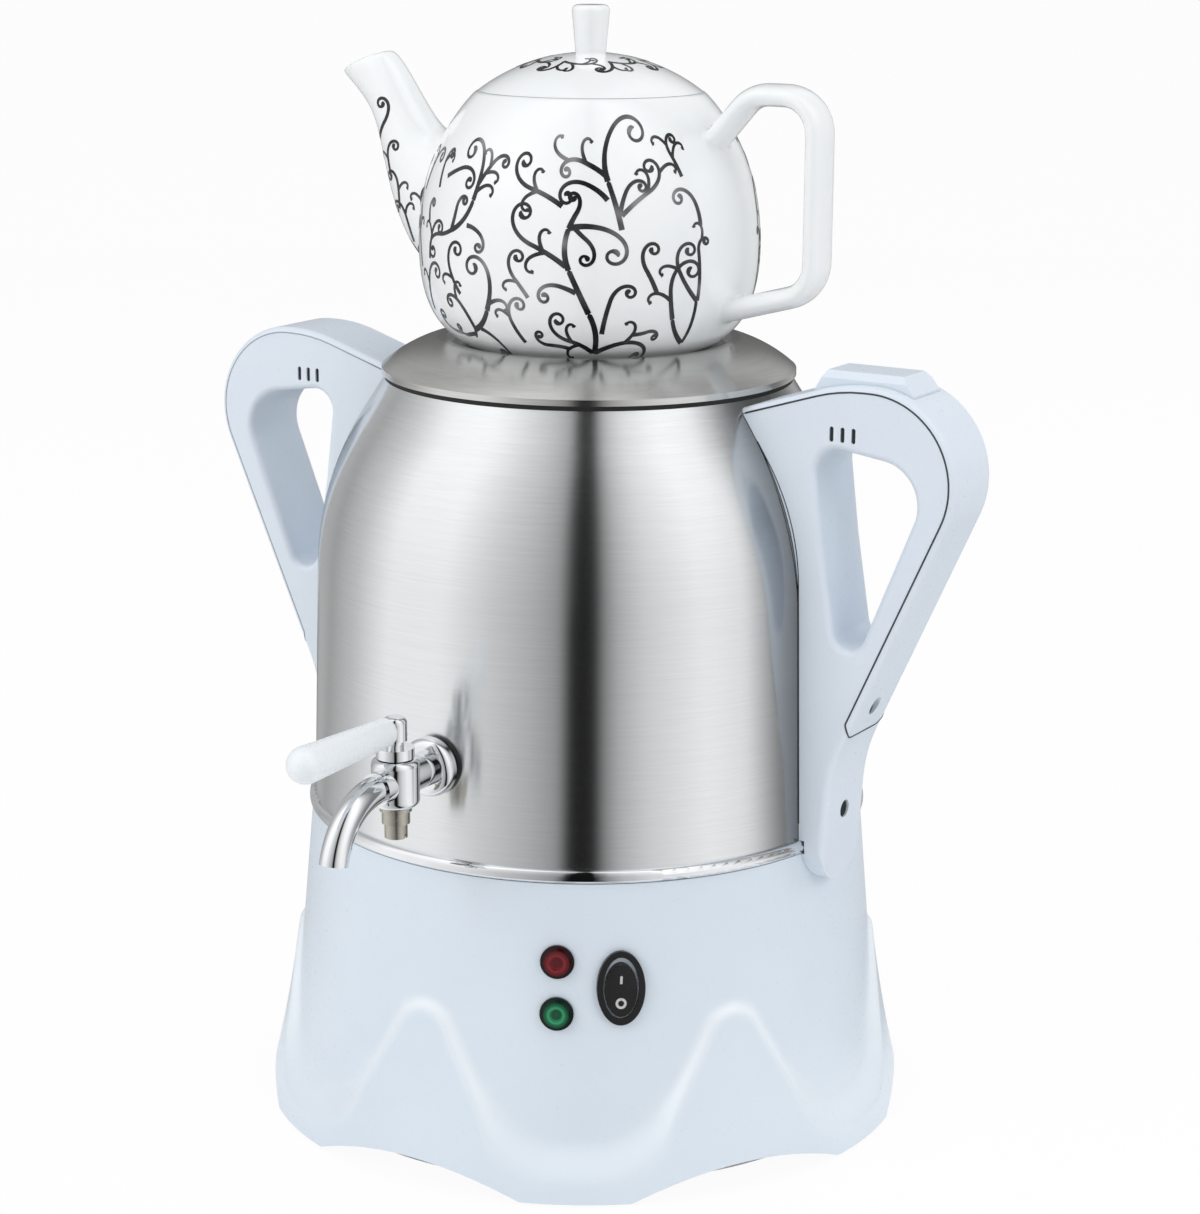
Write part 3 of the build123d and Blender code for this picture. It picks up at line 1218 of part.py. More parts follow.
# Handle frame: the blank without the cover's room, seated on boiler, trim and base
vent_xs = [vent_mid_x + VENT_PITCH * (step - (VENT_COUNT - 1) / 2) for step in range(VENT_COUNT)]
cover_room = cover_zone(0)
cover_block = cover_zone(SEAM_GAP)
with BuildPart() as handle_frame:
    add(handle_blank.part)
    add(cover_room, mode=Mode.SUBTRACT)
    add(boiler_envelope.part, mode=Mode.SUBTRACT)
    for side in (-1, 1):
        with BuildSketch(Plane.XZ.offset(HANDLE_SET + side * (HANDLE_WIDTH / 2 - VENT_DEPTH))):
            for vent_x in vent_xs:
                with Locations((vent_x, vent_z)):
                    SlotOverall(VENT_HEIGHT, VENT_WIDTH, rotation=HALF_TURN / 2)
        extrude(amount=side * (VENT_DEPTH + CUT_OVER), mode=Mode.SUBTRACT)
    with BuildSketch(Plane.YZ.offset(cover_seat_x)):
        with Locations((-HANDLE_SET, cover_screw_z)):
            Circle(HANDLE_SCREW_RADIUS + RUN_GAP)
    extrude(amount=-COVER_SCREW_LENGTH - FIT_GAP, mode=Mode.SUBTRACT)
    with BuildSketch(Plane.YZ.offset(foot_seat_x)):
        with Locations((-HANDLE_SET, foot_screw_z)):
            Circle(HANDLE_SCREW_HEAD_RADIUS + FIT_GAP)
    extrude(amount=handle_reach, mode=Mode.SUBTRACT)
    with BuildSketch(Plane.YZ.offset(foot_seat_x)):
        with Locations((-HANDLE_SET, foot_screw_z)):
            Circle(HANDLE_SCREW_RADIUS + FIT_GAP)
    extrude(amount=-FOOT_SCREW_LENGTH, mode=Mode.SUBTRACT)
    with BuildSketch(Plane.YZ.offset(corner_radius + PEG_LENGTH + FIT_GAP)):
        with Locations((-HANDLE_SET, peg_z)):
            Circle(PEG_RADIUS + FIT_GAP)
    extrude(amount=-PEG_LENGTH - CUT_OVER, mode=Mode.SUBTRACT)

# Handle cover: strip that closes the outside of the handle
with BuildPart() as handle_cover:
    add(handle_blank.part)
    add(cover_block, mode=Mode.INTERSECT)
    add(boiler_envelope.part, mode=Mode.SUBTRACT)
    with BuildSketch(Plane.YZ.offset(cover_seat_x)):
        with Locations((-HANDLE_SET, cover_screw_z)):
            Circle(HANDLE_SCREW_HEAD_RADIUS + FIT_GAP)
    extrude(amount=handle_reach, mode=Mode.SUBTRACT)
    with BuildSketch(Plane.YZ.offset(cover_seat_x)):
        with Locations((-HANDLE_SET, cover_screw_z)):
            Circle(HANDLE_SCREW_RADIUS + FIT_GAP)
    extrude(amount=-COVER_BOSS_DEPTH, mode=Mode.SUBTRACT)

# Left handle: the same pieces mirrored
with BuildPart() as left_handle:
    mirror(handle_frame.part, about=Plane.YZ)
left_handle.part.label = "left_handle"
export_step(left_handle.part, "parts/left_handle.step")
with BuildPart() as left_cover:
    mirror(handle_cover.part, about=Plane.YZ)
left_cover.part.label = "left_cover"
export_step(left_cover.part, "parts/left_cover.step")

# Right handle: with a well for the thumb button and its spring
button_low = cover_z - BUTTON_DEPTH
button_mid_x = button_start_x + BUTTON_LENGTH / 2
well_low = button_low - BUTTON_TRAVEL - FIT_GAP
spring_low = button_low - SPRING_LENGTH
with BuildPart() as right_handle:
    add(handle_frame.part)
    with BuildSketch(Plane.XY.offset(well_low)):
        with Locations((button_mid_x, -HANDLE_SET)):
            Rectangle(BUTTON_LENGTH + 2 * FIT_GAP, BUTTON_WIDTH + 2 * FIT_GAP)
    extrude(amount=handle_reach, mode=Mode.SUBTRACT)
    with BuildSketch(Plane.XY.offset(spring_low)):
        with Locations((button_mid_x, -HANDLE_SET)):
            Circle(SPRING_RADIUS + FIT_GAP)
    extrude(amount=SPRING_LENGTH, mode=Mode.SUBTRACT)
right_handle.part.label = "right_handle"
export_step(right_handle.part, "parts/right_handle.step")
with BuildPart() as right_cover:
    add(handle_cover.part)
    with BuildSketch(Plane.XY.offset(well_low)):
        with Locations((button_mid_x, -HANDLE_SET)):
            Rectangle(BUTTON_LENGTH + 2 * FIT_GAP, BUTTON_WIDTH + 2 * FIT_GAP)
    extrude(amount=handle_reach, mode=Mode.SUBTRACT)
right_cover.part.label = "right_cover"
export_step(right_cover.part, "parts/right_cover.step")

# Thumb button: block with sloping ends and bevelled sides
button_top = cover_z + BUTTON_PROUD
button_end = button_start_x + BUTTON_LENGTH
with BuildPart() as thumb_button:
    with BuildSketch(Plane.XZ.offset(HANDLE_SET)):
        Polygon(
            (button_start_x, button_low),
            (button_end, button_low),
            (button_end, cover_z - BUTTON_BEVEL),
            (button_end - 2 * BUTTON_BEVEL, button_top),
            (button_start_x + 2 * BUTTON_BEVEL, button_top),
            (button_start_x, cover_z - 2 * BUTTON_BEVEL),
            align=None,
        )
    extrude(amount=BUTTON_WIDTH / 2, both=True)
    chamfer(thumb_button.faces().sort_by(Axis.Z)[-1].edges().filter_by(Axis.X), BUTTON_BEVEL)
thumb_button.part.label = "thumb_button"
export_step(thumb_button.part, "parts/thumb_button.step")

# Button spring: drawn as a plain sleeve under the button
with BuildPart() as button_spring:
    with BuildSketch(Plane.XY.offset(spring_low)):
        with Locations((button_mid_x, -HANDLE_SET)):
            Circle(SPRING_RADIUS)
            Circle(SPRING_BORE_RADIUS, mode=Mode.SUBTRACT)
    extrude(amount=SPRING_LENGTH)
button_spring.part.label = "button_spring"
export_step(button_spring.part, "parts/button_spring.step")


def handle_screw(z, seat_x, length):
    """Screw along X with a slotted head, on the right handle."""
    with BuildPart() as screw:
        with BuildSketch(Plane.YZ.offset(seat_x)):
            with Locations((-HANDLE_SET, z)):
                Circle(HANDLE_SCREW_RADIUS)
        extrude(amount=-length)
        with BuildSketch(Plane.YZ.offset(seat_x)):
            with Locations((-HANDLE_SET, z)):
                Circle(HANDLE_SCREW_HEAD_RADIUS)
        extrude(amount=HANDLE_SCREW_HEAD_HEIGHT)
    return screw.part


# Cover screws and foot screws of both handles
cover_screw = handle_screw(cover_screw_z, cover_seat_x, COVER_SCREW_LENGTH)
foot_screw = handle_screw(foot_screw_z, foot_seat_x, FOOT_SCREW_LENGTH)
with BuildPart() as cover_screws:
    add(cover_screw)
    mirror(cover_screw, about=Plane.YZ)
cover_screws.part.label = "cover_screws"
export_step(cover_screws.part, "parts/cover_screws.step")
with BuildPart() as foot_screws:
    add(foot_screw)
    mirror(foot_screw, about=Plane.YZ)
foot_screws.part.label = "foot_screws"
export_step(foot_screws.part, "parts/foot_screws.step")

# Foot nuts: inside the dry skirt of the boiler
foot_nut_side = HANDLE_SET + FOOT_NUT_RADIUS
foot_nut_x = sqrt((boiler_radius(foot_screw_z) - SHEET) ** 2 - foot_nut_side**2) - FIT_GAP
with BuildPart() as foot_nuts:
    for side in (-1, 1):
        with BuildSketch(Plane.YZ.offset(side * foot_nut_x)):
            with Locations((-HANDLE_SET, foot_screw_z)):
                RegularPolygon(FOOT_NUT_RADIUS, 6)
                Circle(HANDLE_SCREW_RADIUS + RUN_GAP, mode=Mode.SUBTRACT)
        extrude(amount=-side * FOOT_NUT_HEIGHT)
foot_nuts.part.label = "foot_nuts"
export_step(foot_nuts.part, "parts/foot_nuts.step")

# Handle pegs: weld pegs on the boiler wall that hold the handles level
with BuildPart() as handle_pegs:
    with BuildSketch(Plane.YZ):
        with Locations((-HANDLE_SET, peg_z)):
            Circle(PEG_RADIUS)
    extrude(amount=corner_radius + PEG_LENGTH, both=True)
    add(boiler_envelope.part, mode=Mode.SUBTRACT)
handle_pegs.part.label = "handle_pegs"
export_step(handle_pegs.part, "parts/handle_pegs.step")


def spout_loft(inset, over):
    """Pot spout through its oval sections, drawn in by a wall and run on past the mouth."""
    with BuildPart() as tube:
        rows = list(zip(SPOUT_REACHES, SPOUT_RISES, SPOUT_ANGLES, SPOUT_HEIGHTS, SPOUT_WIDTHS))
        for reach, rise, angle, high, wide in rows:
            lift = radians(angle)
            out = Vector(-cos(lift), 0, sin(lift))
            last = rows[-1][0] == reach
            middle = Vector(-reach, 0, pot_z + rise) + out * (over if last else 0)
            with BuildSketch(Plane(origin=middle, x_dir=(0, 1, 0), z_dir=out)):
                with BuildLine():
                    steps = range(SPOUT_POINT_COUNT)
                    turns = [radians(2 * HALF_TURN * step / SPOUT_POINT_COUNT) for step in steps]
                    Spline([((wide - inset) * cos(t), (high - inset) * sin(t)) for t in turns], periodic=True)
                make_face()
        loft()
    return tube.part


spout_solid = spout_loft(0, 0)
spout_bore = spout_loft(SPOUT_WALL, CUT_OVER)

# Pot form: the outside of the body, solid right through, used for cutting too
with BuildPart() as pot_form:
    with BuildSketch(Plane.XZ):
        with BuildLine():
            side = Spline(
                (POT_FOOT_RADIUS, pot_z),
                (POT_LOW_RADIUS, pot_z + POT_LOW_RISE),
                (POT_BELLY_RADIUS, pot_z + POT_BELLY_RISE),
                (POT_HIGH_RADIUS, pot_z + POT_HIGH_RISE),
                (POT_MOUTH_RADIUS, pot_z + POT_MOUTH_RISE),
            )
            Polyline(side @ 1, (0, pot_z + POT_MOUTH_RISE), (0, pot_z), side @ 0)
        make_face()
    revolve(axis=Axis.Z)

# Pot body: turned and hollow, with the hole that leads into the spout
with BuildPart() as teapot_body:
    add(pot_form.part)
    with BuildSketch(Plane.XZ):
        with BuildLine():
            bowl = Spline(
                (POT_FOOT_RADIUS - POT_WALL / 2, pot_z + POT_WALL),
                (POT_LOW_RADIUS - POT_WALL, pot_z + POT_LOW_RISE + POT_WALL / 2),
                (POT_BELLY_RADIUS - POT_WALL, pot_z + POT_BELLY_RISE),
                (POT_HIGH_RADIUS - POT_WALL, pot_z + POT_HIGH_RISE - POT_WALL / 2),
                (POT_MOUTH_RADIUS - POT_RIM_WIDTH, pot_z + POT_MOUTH_RISE - POT_WALL),
            )
            Polyline(
                bowl @ 1,
                (POT_MOUTH_RADIUS - POT_RIM_WIDTH, pot_z + POT_MOUTH_RISE + CUT_OVER),
                (0, pot_z + POT_MOUTH_RISE + CUT_OVER),
                (0, pot_z + POT_WALL),
                bowl @ 0,
            )
        make_face()
    revolve(axis=Axis.Z, mode=Mode.SUBTRACT)
    add(spout_bore, mode=Mode.SUBTRACT)
teapot_body.part.label = "teapot_body"
export_step(teapot_body.part, "parts/teapot_body.step")

# Pot spout: lofted tube joined to the body
with BuildPart() as teapot_spout:
    add(spout_solid)
    add(spout_bore, mode=Mode.SUBTRACT)
    add(pot_form.part, mode=Mode.SUBTRACT)
teapot_spout.part.label = "teapot_spout"
export_step(teapot_spout.part, "parts/teapot_spout.step")

# Pot handle: swept loop joined to the body at both ends
with BuildPart() as teapot_handle:
    with BuildLine(Plane.XZ) as pot_grip:
        FilletPolyline(
            (POT_HANDLE_ROOT_RADIUS, pot_z + POT_HANDLE_ROOT_RISE),
            (POT_HANDLE_CREST_RADIUS, pot_z + POT_HANDLE_TOP),
            (POT_HANDLE_REACH, pot_z + POT_HANDLE_TOP),
            (POT_HANDLE_REACH, pot_z + POT_HANDLE_LOW),
            (POT_HANDLE_TAIL_RADIUS, pot_z + POT_HANDLE_TAIL_RISE),
            radius=POT_HANDLE_BEND,
        )
    with BuildSketch(Plane(origin=pot_grip.line @ 0, x_dir=(0, 1, 0), z_dir=pot_grip.line % 0)):
        Ellipse(POT_HANDLE_WIDTH / 2, POT_HANDLE_THICKNESS / 2)
    sweep(path=pot_grip.line)
    add(pot_form.part, mode=Mode.SUBTRACT)
teapot_handle.part.label = "teapot_handle"
export_step(teapot_handle.part, "parts/teapot_handle.step")

# Pot lid: domed cap with a centring collar and a knob
cap_radius = (pot_lid_radius**2 + POT_LID_RISE**2) / (2 * POT_LID_RISE)
cap_mid_z = POT_LID_RISE - cap_radius + sqrt(cap_radius**2 - (pot_lid_radius / 2) ** 2)
collar_radius = POT_MOUTH_RADIUS - POT_RIM_WIDTH - FIT_GAP
collar_inner = collar_radius - POT_LID_COLLAR_WALL
with BuildPart() as teapot_lid:
    with BuildSketch(Plane.XZ):
        with BuildLine():
            cap = ThreePointArc(
                (pot_lid_radius, pot_lid_z),
                (pot_lid_radius / 2, pot_lid_z + cap_mid_z),
                (0, pot_lid_z + POT_LID_RISE),
            )
            Polyline(
                cap @ 1,
                (0, pot_lid_z + POT_LID_RISE - POT_LID_WALL),
                (collar_inner, pot_lid_z),
                (collar_inner, pot_lid_z - POT_LID_COLLAR_DEPTH),
                (collar_radius, pot_lid_z - POT_LID_COLLAR_DEPTH),
                (collar_radius, pot_lid_z),
                cap @ 0,
            )
        make_face()
    revolve(axis=Axis.Z)
    with BuildSketch(Plane.XZ):
        with BuildLine():
            FilletPolyline(
                (0, pot_lid_z + POT_LID_RISE - POT_LID_WALL / 2),
                (KNOB_FOOT_RADIUS, pot_lid_z + POT_LID_RISE - POT_LID_WALL / 2),
                (KNOB_TOP_RADIUS, pot_lid_z + POT_LID_RISE + KNOB_HEIGHT),
                (0, pot_lid_z + POT_LID_RISE + KNOB_HEIGHT),
                radius=(0, 0, KNOB_ROUND, 0),
                close=True,
            )
        make_face()
    revolve(axis=Axis.Z)
teapot_lid.part.label = "teapot_lid"
export_step(teapot_lid.part, "parts/teapot_lid.step")
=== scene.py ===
"""Looks of an electric tea maker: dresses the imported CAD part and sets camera, light and floor."""
import json
import math

import bmesh
import bpy
import numpy as np
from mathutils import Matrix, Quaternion, Vector
from mathutils.bvhtree import BVHTree


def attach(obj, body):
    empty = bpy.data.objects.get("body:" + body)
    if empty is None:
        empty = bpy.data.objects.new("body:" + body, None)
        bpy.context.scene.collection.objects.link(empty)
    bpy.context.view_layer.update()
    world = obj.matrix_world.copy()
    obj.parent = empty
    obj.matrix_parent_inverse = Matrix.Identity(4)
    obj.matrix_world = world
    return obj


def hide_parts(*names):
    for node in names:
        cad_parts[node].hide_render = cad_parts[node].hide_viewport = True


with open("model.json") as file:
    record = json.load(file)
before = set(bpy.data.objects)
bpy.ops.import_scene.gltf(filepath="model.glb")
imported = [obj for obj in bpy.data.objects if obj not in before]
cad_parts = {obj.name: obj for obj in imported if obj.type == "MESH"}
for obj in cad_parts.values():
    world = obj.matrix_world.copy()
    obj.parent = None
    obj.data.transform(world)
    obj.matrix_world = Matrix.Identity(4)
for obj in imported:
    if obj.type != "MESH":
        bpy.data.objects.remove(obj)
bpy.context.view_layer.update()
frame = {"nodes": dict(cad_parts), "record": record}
NODES = frame["nodes"]
MM = 0.001

# Sizes that repeat the part's own, in millimetres
BASE_HEIGHT = 113.0
BASE_TOP_RADIUS = 103.7
BASE_SLOPE = math.tan(math.radians(5.1))
BASE_WALL = 2.8
SEAT_Z = 118.0
RIM_Z = 274.0
POT_Z = 286.3
POT_LID_Z = 377.3
LAMP_TURN = 26.2
RED_LAMP_Z = 85.4
GREEN_LAMP_Z = 66.8
SWITCH_TURN = 38.1
SWITCH_Z = 76.2


# Mesh helpers
def add_mesh(name, verts, faces, smooth=True):
    """New mesh object from points in metres."""
    mesh = bpy.data.meshes.new(name)
    mesh.from_pydata([tuple(v) for v in verts], [], faces)
    mesh.update()
    obj = bpy.data.objects.new(name, mesh)
    bpy.context.scene.collection.objects.link(obj)
    if smooth:
        for poly in mesh.polygons:
            poly.use_smooth = True
    return obj


def dress(obj, body, material, replaces=None):
    """Puts a piece on its body with a material, and hides the node it stands for."""
    obj.data.materials.clear()
    obj.data.materials.append(material)
    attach(obj, body)
    if replaces:
        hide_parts(*([replaces] if isinstance(replaces, str) else replaces))
    return obj


def rounded(points, radii, step=6.0, share=0.499):
    """Points of a polyline with each inner corner rounded by its radius.

    Step is in degrees; share is how much of a side one corner may use up.
    """
    out = [points[0]]
    for i in range(1, len(points) - 1):
        p0, p1, p2 = (np.array(points[k], float) for k in (i - 1, i, i + 1))
        r = radii[i - 1]
        a, b = p0 - p1, p2 - p1
        la, lb = np.linalg.norm(a), np.linalg.norm(b)
        a, b = a / la, b / lb
        turn = math.pi - math.acos(max(-1.0, min(1.0, float(a @ b))))
        if r <= 0 or turn < 1e-4:
            out.append(tuple(p1))
            continue
        cut = min(r * math.tan(turn / 2), share * la, share * lb)
        r = cut / math.tan(turn / 2)
        start, end = p1 + a * cut, p1 + b * cut
        centre = p1 + (a + b) / np.linalg.norm(a + b) * (r / math.cos(turn / 2))
        count = max(2, int(math.degrees(turn) / step))
        v0, v1 = start - centre, end - centre
        for k in range(count + 1):
            t = k / count
            s0 = math.sin((1 - t) * turn) / math.sin(turn)
            s1 = math.sin(t * turn) / math.sin(turn)
            out.append(tuple(centre + v0 * s0 + v1 * s1))
    out.append(points[-1])
    return out


def lathe(name, profile, segments):
    """Turns a profile of (radius, z) in millimetres about a vertical axis."""
    verts, faces = [], []
    rows = []
    for r, z in profile:
        if abs(r) < 1e-6:
            rows.append([len(verts)])
            verts.append((0.0, 0.0, z * MM))
            continue
        row = []
        for k in range(segments):
            a = 2 * math.pi * k / segments
            row.append(len(verts))
            verts.append((r * math.cos(a) * MM, r * math.sin(a) * MM, z * MM))
        rows.append(row)
    for low, high in zip(rows, rows[1:]):
        for k in range(segments):
            n = (k + 1) % segments
            if len(low) == 1 and len(high) == 1:
                continue
            if len(low) == 1:
                faces.append((low[0], high[n], high[k]))
            elif len(high) == 1:
                faces.append((low[k], low[n], high[0]))
            else:
                faces.append((low[k], low[n], high[n], high[k]))
    obj = add_mesh(name, verts, faces)
    fix_normals(obj)
    return obj


def fix_normals(obj):
    """Turns all faces outwards."""
    bm = bmesh.new()
    bm.from_mesh(obj.data)
    bmesh.ops.recalc_face_normals(bm, faces=bm.faces)
    bm.to_mesh(obj.data)
    bm.free()


def sharpen(obj, degrees=35.0):
    """Smooth shading with edges above an angle kept sharp."""
    for poly in obj.data.polygons:
        poly.use_smooth = True
    obj.data.set_sharp_from_angle(angle=math.radians(degrees))


# Materials
def srgb(*values):
    """Linear colour from 0 to 255 screen values."""
    lin = [v / 255.0 for v in values]
    lin = [v / 12.92 if v <= 0.04045 else ((v + 0.055) / 1.055) ** 2.4 for v in lin]
    return (*lin, 1.0)


class Shader:
    """A principled material with small helpers for its nodes."""

    def __init__(self, name, **sockets):
        self.mat = bpy.data.materials.new(name)
        self.mat.use_nodes = True
        self.tree = self.mat.node_tree
        self.tree.nodes.clear()
        self.out = self.node("ShaderNodeOutputMaterial")
        self.bsdf = self.node("ShaderNodeBsdfPrincipled")
        self.link(self.bsdf.outputs[0], self.out.inputs[0])
        for key, value in sockets.items():
            self.bsdf.inputs[key.replace("_", " ")].default_value = value

    def node(self, kind, **props):
        made = self.tree.nodes.new(kind)
        for key, value in props.items():
            setattr(made, key, value)
        return made

    def link(self, a, b):
        self.tree.links.new(a, b)

    def coords(self, scale=(1.0, 1.0, 1.0)):
        where = self.node("ShaderNodeTexCoord")
        mapping = self.node("ShaderNodeMapping")
        mapping.inputs["Scale"].default_value = scale
        self.link(where.outputs["Object"], mapping.inputs["Vector"])
        return mapping.outputs["Vector"]

    def noise(self, vector, scale, detail=3.0, rough=0.55):
        made = self.node("ShaderNodeTexNoise")
        made.inputs["Scale"].default_value = scale
        made.inputs["Detail"].default_value = detail
        made.inputs["Roughness"].default_value = rough
        self.link(vector, made.inputs["Vector"])
        return made.outputs["Fac"]

    def ramp(self, fac, stops):
        made = self.node("ShaderNodeValToRGB")
        ramp = made.color_ramp
        while len(ramp.elements) < len(stops):
            ramp.elements.new(0.5)
        for element, (place, colour) in zip(ramp.elements, stops):
            element.position = place
            element.color = colour
        self.link(fac, made.inputs["Fac"])
        return made.outputs["Color"]

    def spread(self, fac, low, high, start=0.3, end=0.7):
        made = self.node("ShaderNodeMapRange")
        made.inputs["From Min"].default_value = start
        made.inputs["From Max"].default_value = end
        made.inputs["To Min"].default_value = low
        made.inputs["To Max"].default_value = high
        self.link(fac, made.inputs["Value"])
        return made.outputs["Result"]

    def colour(self, socket):
        self.link(socket, self.bsdf.inputs["Base Color"])

    def rough(self, socket):
        self.link(socket, self.bsdf.inputs["Roughness"])

    def bump(self, height, strength, distance):
        made = self.node("ShaderNodeBump")
        made.inputs["Strength"].default_value = strength
        made.inputs["Distance"].default_value = distance * MM
        self.link(height, made.inputs["Height"])
        self.link(made.outputs["Normal"], self.bsdf.inputs["Normal"])

    def axes(self):
        """X, Y and Z of the object's own coordinates."""
        where = self.node("ShaderNodeTexCoord")
        split = self.node("ShaderNodeSeparateXYZ")
        self.link(where.outputs["Object"], split.inputs[0])
        return split.outputs

    def tones_round(self, stops):
        """Grey tones that change round the Z axis; stops are (degrees from -Y towards +X, tone)."""
        split = self.axes()
        back = self.node("ShaderNodeMath", operation="MULTIPLY")
        back.inputs[1].default_value = -1.0
        self.link(split["Y"], back.inputs[0])
        angle = self.node("ShaderNodeMath", operation="ARCTAN2")
        self.link(split["X"], angle.inputs[0])
        self.link(back.outputs[0], angle.inputs[1])
        place = self.spread(angle.outputs[0], 0.0, 1.0, -math.pi, math.pi)
        return self.ramp(place, [((turn + 180) / 360.0, (v, v, v, 1.0)) for turn, v in stops])

    def around_axis(self, turns, across):
        """Coordinates that run round the Z axis without a seam, and change fast across it."""
        split = self.axes()
        flat = self.node("ShaderNodeCombineXYZ")
        self.link(split["X"], flat.inputs["X"])
        self.link(split["Y"], flat.inputs["Y"])
        length = self.node("ShaderNodeVectorMath", operation="LENGTH")
        self.link(flat.outputs[0], length.inputs[0])
        unit = self.node("ShaderNodeVectorMath", operation="NORMALIZE")
        self.link(flat.outputs[0], unit.inputs[0])
        scaled = self.node("ShaderNodeVectorMath", operation="SCALE")
        scaled.inputs["Scale"].default_value = turns
        self.link(unit.outputs[0], scaled.inputs[0])
        total = self.node("ShaderNodeMath", operation="ADD")
        self.link(length.outputs["Value"], total.inputs[0])
        self.link(split["Z"], total.inputs[1])
        fast = self.node("ShaderNodeMath", operation="MULTIPLY")
        fast.inputs[1].default_value = across
        self.link(total.outputs[0], fast.inputs[0])
        lift = self.node("ShaderNodeCombineXYZ")
        self.link(fast.outputs[0], lift.inputs["Z"])
        both = self.node("ShaderNodeVectorMath", operation="ADD")
        self.link(scaled.outputs[0], both.inputs[0])
        self.link(lift.outputs[0], both.inputs[1])
        return both.outputs[0]


def moulded(name, dark, light, rough, grain=900.0, depth=0.012, ridge_highlight=None):
    """Moulded plastic: faint cloud of tone, fine grain in gloss and surface.

    With a paler colour it paints a highlight where the mesh's ridge attribute is high.
    """
    s = Shader(name, IOR=1.49)
    where = s.coords()
    tone = s.ramp(s.noise(where, 14.0, 4.0), [(0.3, dark), (0.7, light)])
    if ridge_highlight:
        paler = s.node("ShaderNodeMix", data_type="RGBA")
        share = s.node("ShaderNodeAttribute", attribute_name="ridge_highlight")
        s.link(share.outputs["Fac"], paler.inputs["Factor"])
        s.link(tone, paler.inputs[6])
        paler.inputs[7].default_value = ridge_highlight
        tone = paler.outputs[2]
    s.colour(tone)
    fine = s.noise(where, grain, 2.0)
    s.rough(s.spread(fine, rough - 0.05, rough + 0.06))
    s.bump(fine, 0.25, depth)
    return s.mat


def metal(name, dark, light, rough, scale=300.0, depth=0.004):
    """Plain metal with a fine uneven finish."""
    s = Shader(name, Metallic=1.0)
    where = s.coords()
    s.colour(s.ramp(s.noise(where, 40.0, 3.0), [(0.3, dark), (0.7, light)]))
    fine = s.noise(where, scale, 3.0)
    s.rough(s.spread(fine, rough * 0.7, rough * 1.3))
    s.bump(fine, 0.2, depth)
    return s.mat


BROAD_SHARE = 0.35


def brushed(name, dark, light, rough, anisotropy, shades=()):
    """Steel brushed round the vertical axis; shades are (angle from the tap, tone) stops that darken its
    colour as painted shade.
    """
    s = Shader(name, Metallic=1.0, Anisotropic=anisotropy, Anisotropic_Rotation=0.25)
    lines = s.noise(s.around_axis(7.0, 9000.0), 1.0, 3.0, 0.6)
    broad = s.noise(s.around_axis(2.5, 1500.0), 1.0, 2.0)
    mixed = s.node("ShaderNodeMath", operation="MULTIPLY_ADD")
    mixed.inputs[1].default_value = BROAD_SHARE
    s.link(broad, mixed.inputs[0])
    half = s.node("ShaderNodeMath", operation="MULTIPLY")
    half.inputs[1].default_value = 1.0 - BROAD_SHARE
    s.link(lines, half.inputs[0])
    s.link(half.outputs[0], mixed.inputs[2])
    steel = s.ramp(mixed.outputs[0], [(0.35, dark), (0.65, light)])
    # Painted shade: the steel colour is multiplied by tones that change round the axis
    if shades:
        painted_shade = s.node("ShaderNodeMix", data_type="RGBA", blend_type="MULTIPLY")
        painted_shade.inputs["Factor"].default_value = 1.0
        s.link(steel, painted_shade.inputs[6])
        s.link(s.tones_round(shades), painted_shade.inputs[7])
        steel = painted_shade.outputs[2]
    s.colour(steel)
    s.rough(s.spread(lines, rough - 0.01, rough + 0.01))
    tangent = s.node("ShaderNodeTangent", direction_type="RADIAL", axis="Z")
    s.link(tangent.outputs[0], s.bsdf.inputs["Tangent"])
    s.bump(lines, 0.012, 0.003)
    return s.mat


def glaze(name):
    """White porcelain under a clear glaze."""
    s = Shader(name, IOR=1.5, Coat_Weight=0.5, Coat_Roughness=0.03)
    where = s.coords()
    s.colour(s.ramp(s.noise(where, 22.0, 3.0), [(0.3, srgb(240, 243, 245)), (0.7, srgb(246, 248, 249))]))
    fine = s.noise(where, 160.0, 2.0)
    s.rough(s.spread(fine, 0.10, 0.18))
    s.bump(s.noise(where, 60.0, 1.0), 0.15, 0.05)
    return s.mat


def ink(name):
    """Fired-on dark ornament with an uneven tone."""
    s = Shader(name, IOR=1.5)
    where = s.coords()
    tone = s.noise(where, 55.0, 2.0)
    s.colour(s.ramp(tone, [(0.42, srgb(22, 22, 24)), (0.55, srgb(60, 60, 62)), (0.68, srgb(135, 135, 138))]))
    s.rough(s.spread(tone, 0.2, 0.35))
    return s.mat


def lens(name, centre, normal, stops):
    """Tinted lamp lens; its tone changes with the distance in millimetres from the lamp's own axis."""
    s = Shader(name, IOR=1.49, Coat_Weight=0.6, Coat_Roughness=0.05)
    where = s.coords()
    offset = s.node("ShaderNodeVectorMath", operation="SUBTRACT")
    offset.inputs[1].default_value = centre
    s.link(where, offset.inputs[0])
    across = s.node("ShaderNodeVectorMath", operation="CROSS_PRODUCT")
    across.inputs[1].default_value = normal
    s.link(offset.outputs[0], across.inputs[0])
    reach = s.node("ShaderNodeVectorMath", operation="LENGTH")
    s.link(across.outputs[0], reach.inputs[0])
    far = stops[-1][0]
    place = s.spread(reach.outputs["Value"], 0.0, 1.0, 0.0, far * MM)
    s.colour(s.ramp(place, [(r / far, colour) for r, colour in stops]))
    s.rough(s.spread(s.noise(where, 900.0, 2.0), 0.12, 0.25))
    return s.mat


def base_radius(z):
    """Radius of the base's plain wall at a height."""
    return BASE_TOP_RADIUS + (BASE_HEIGHT - z) * BASE_SLOPE


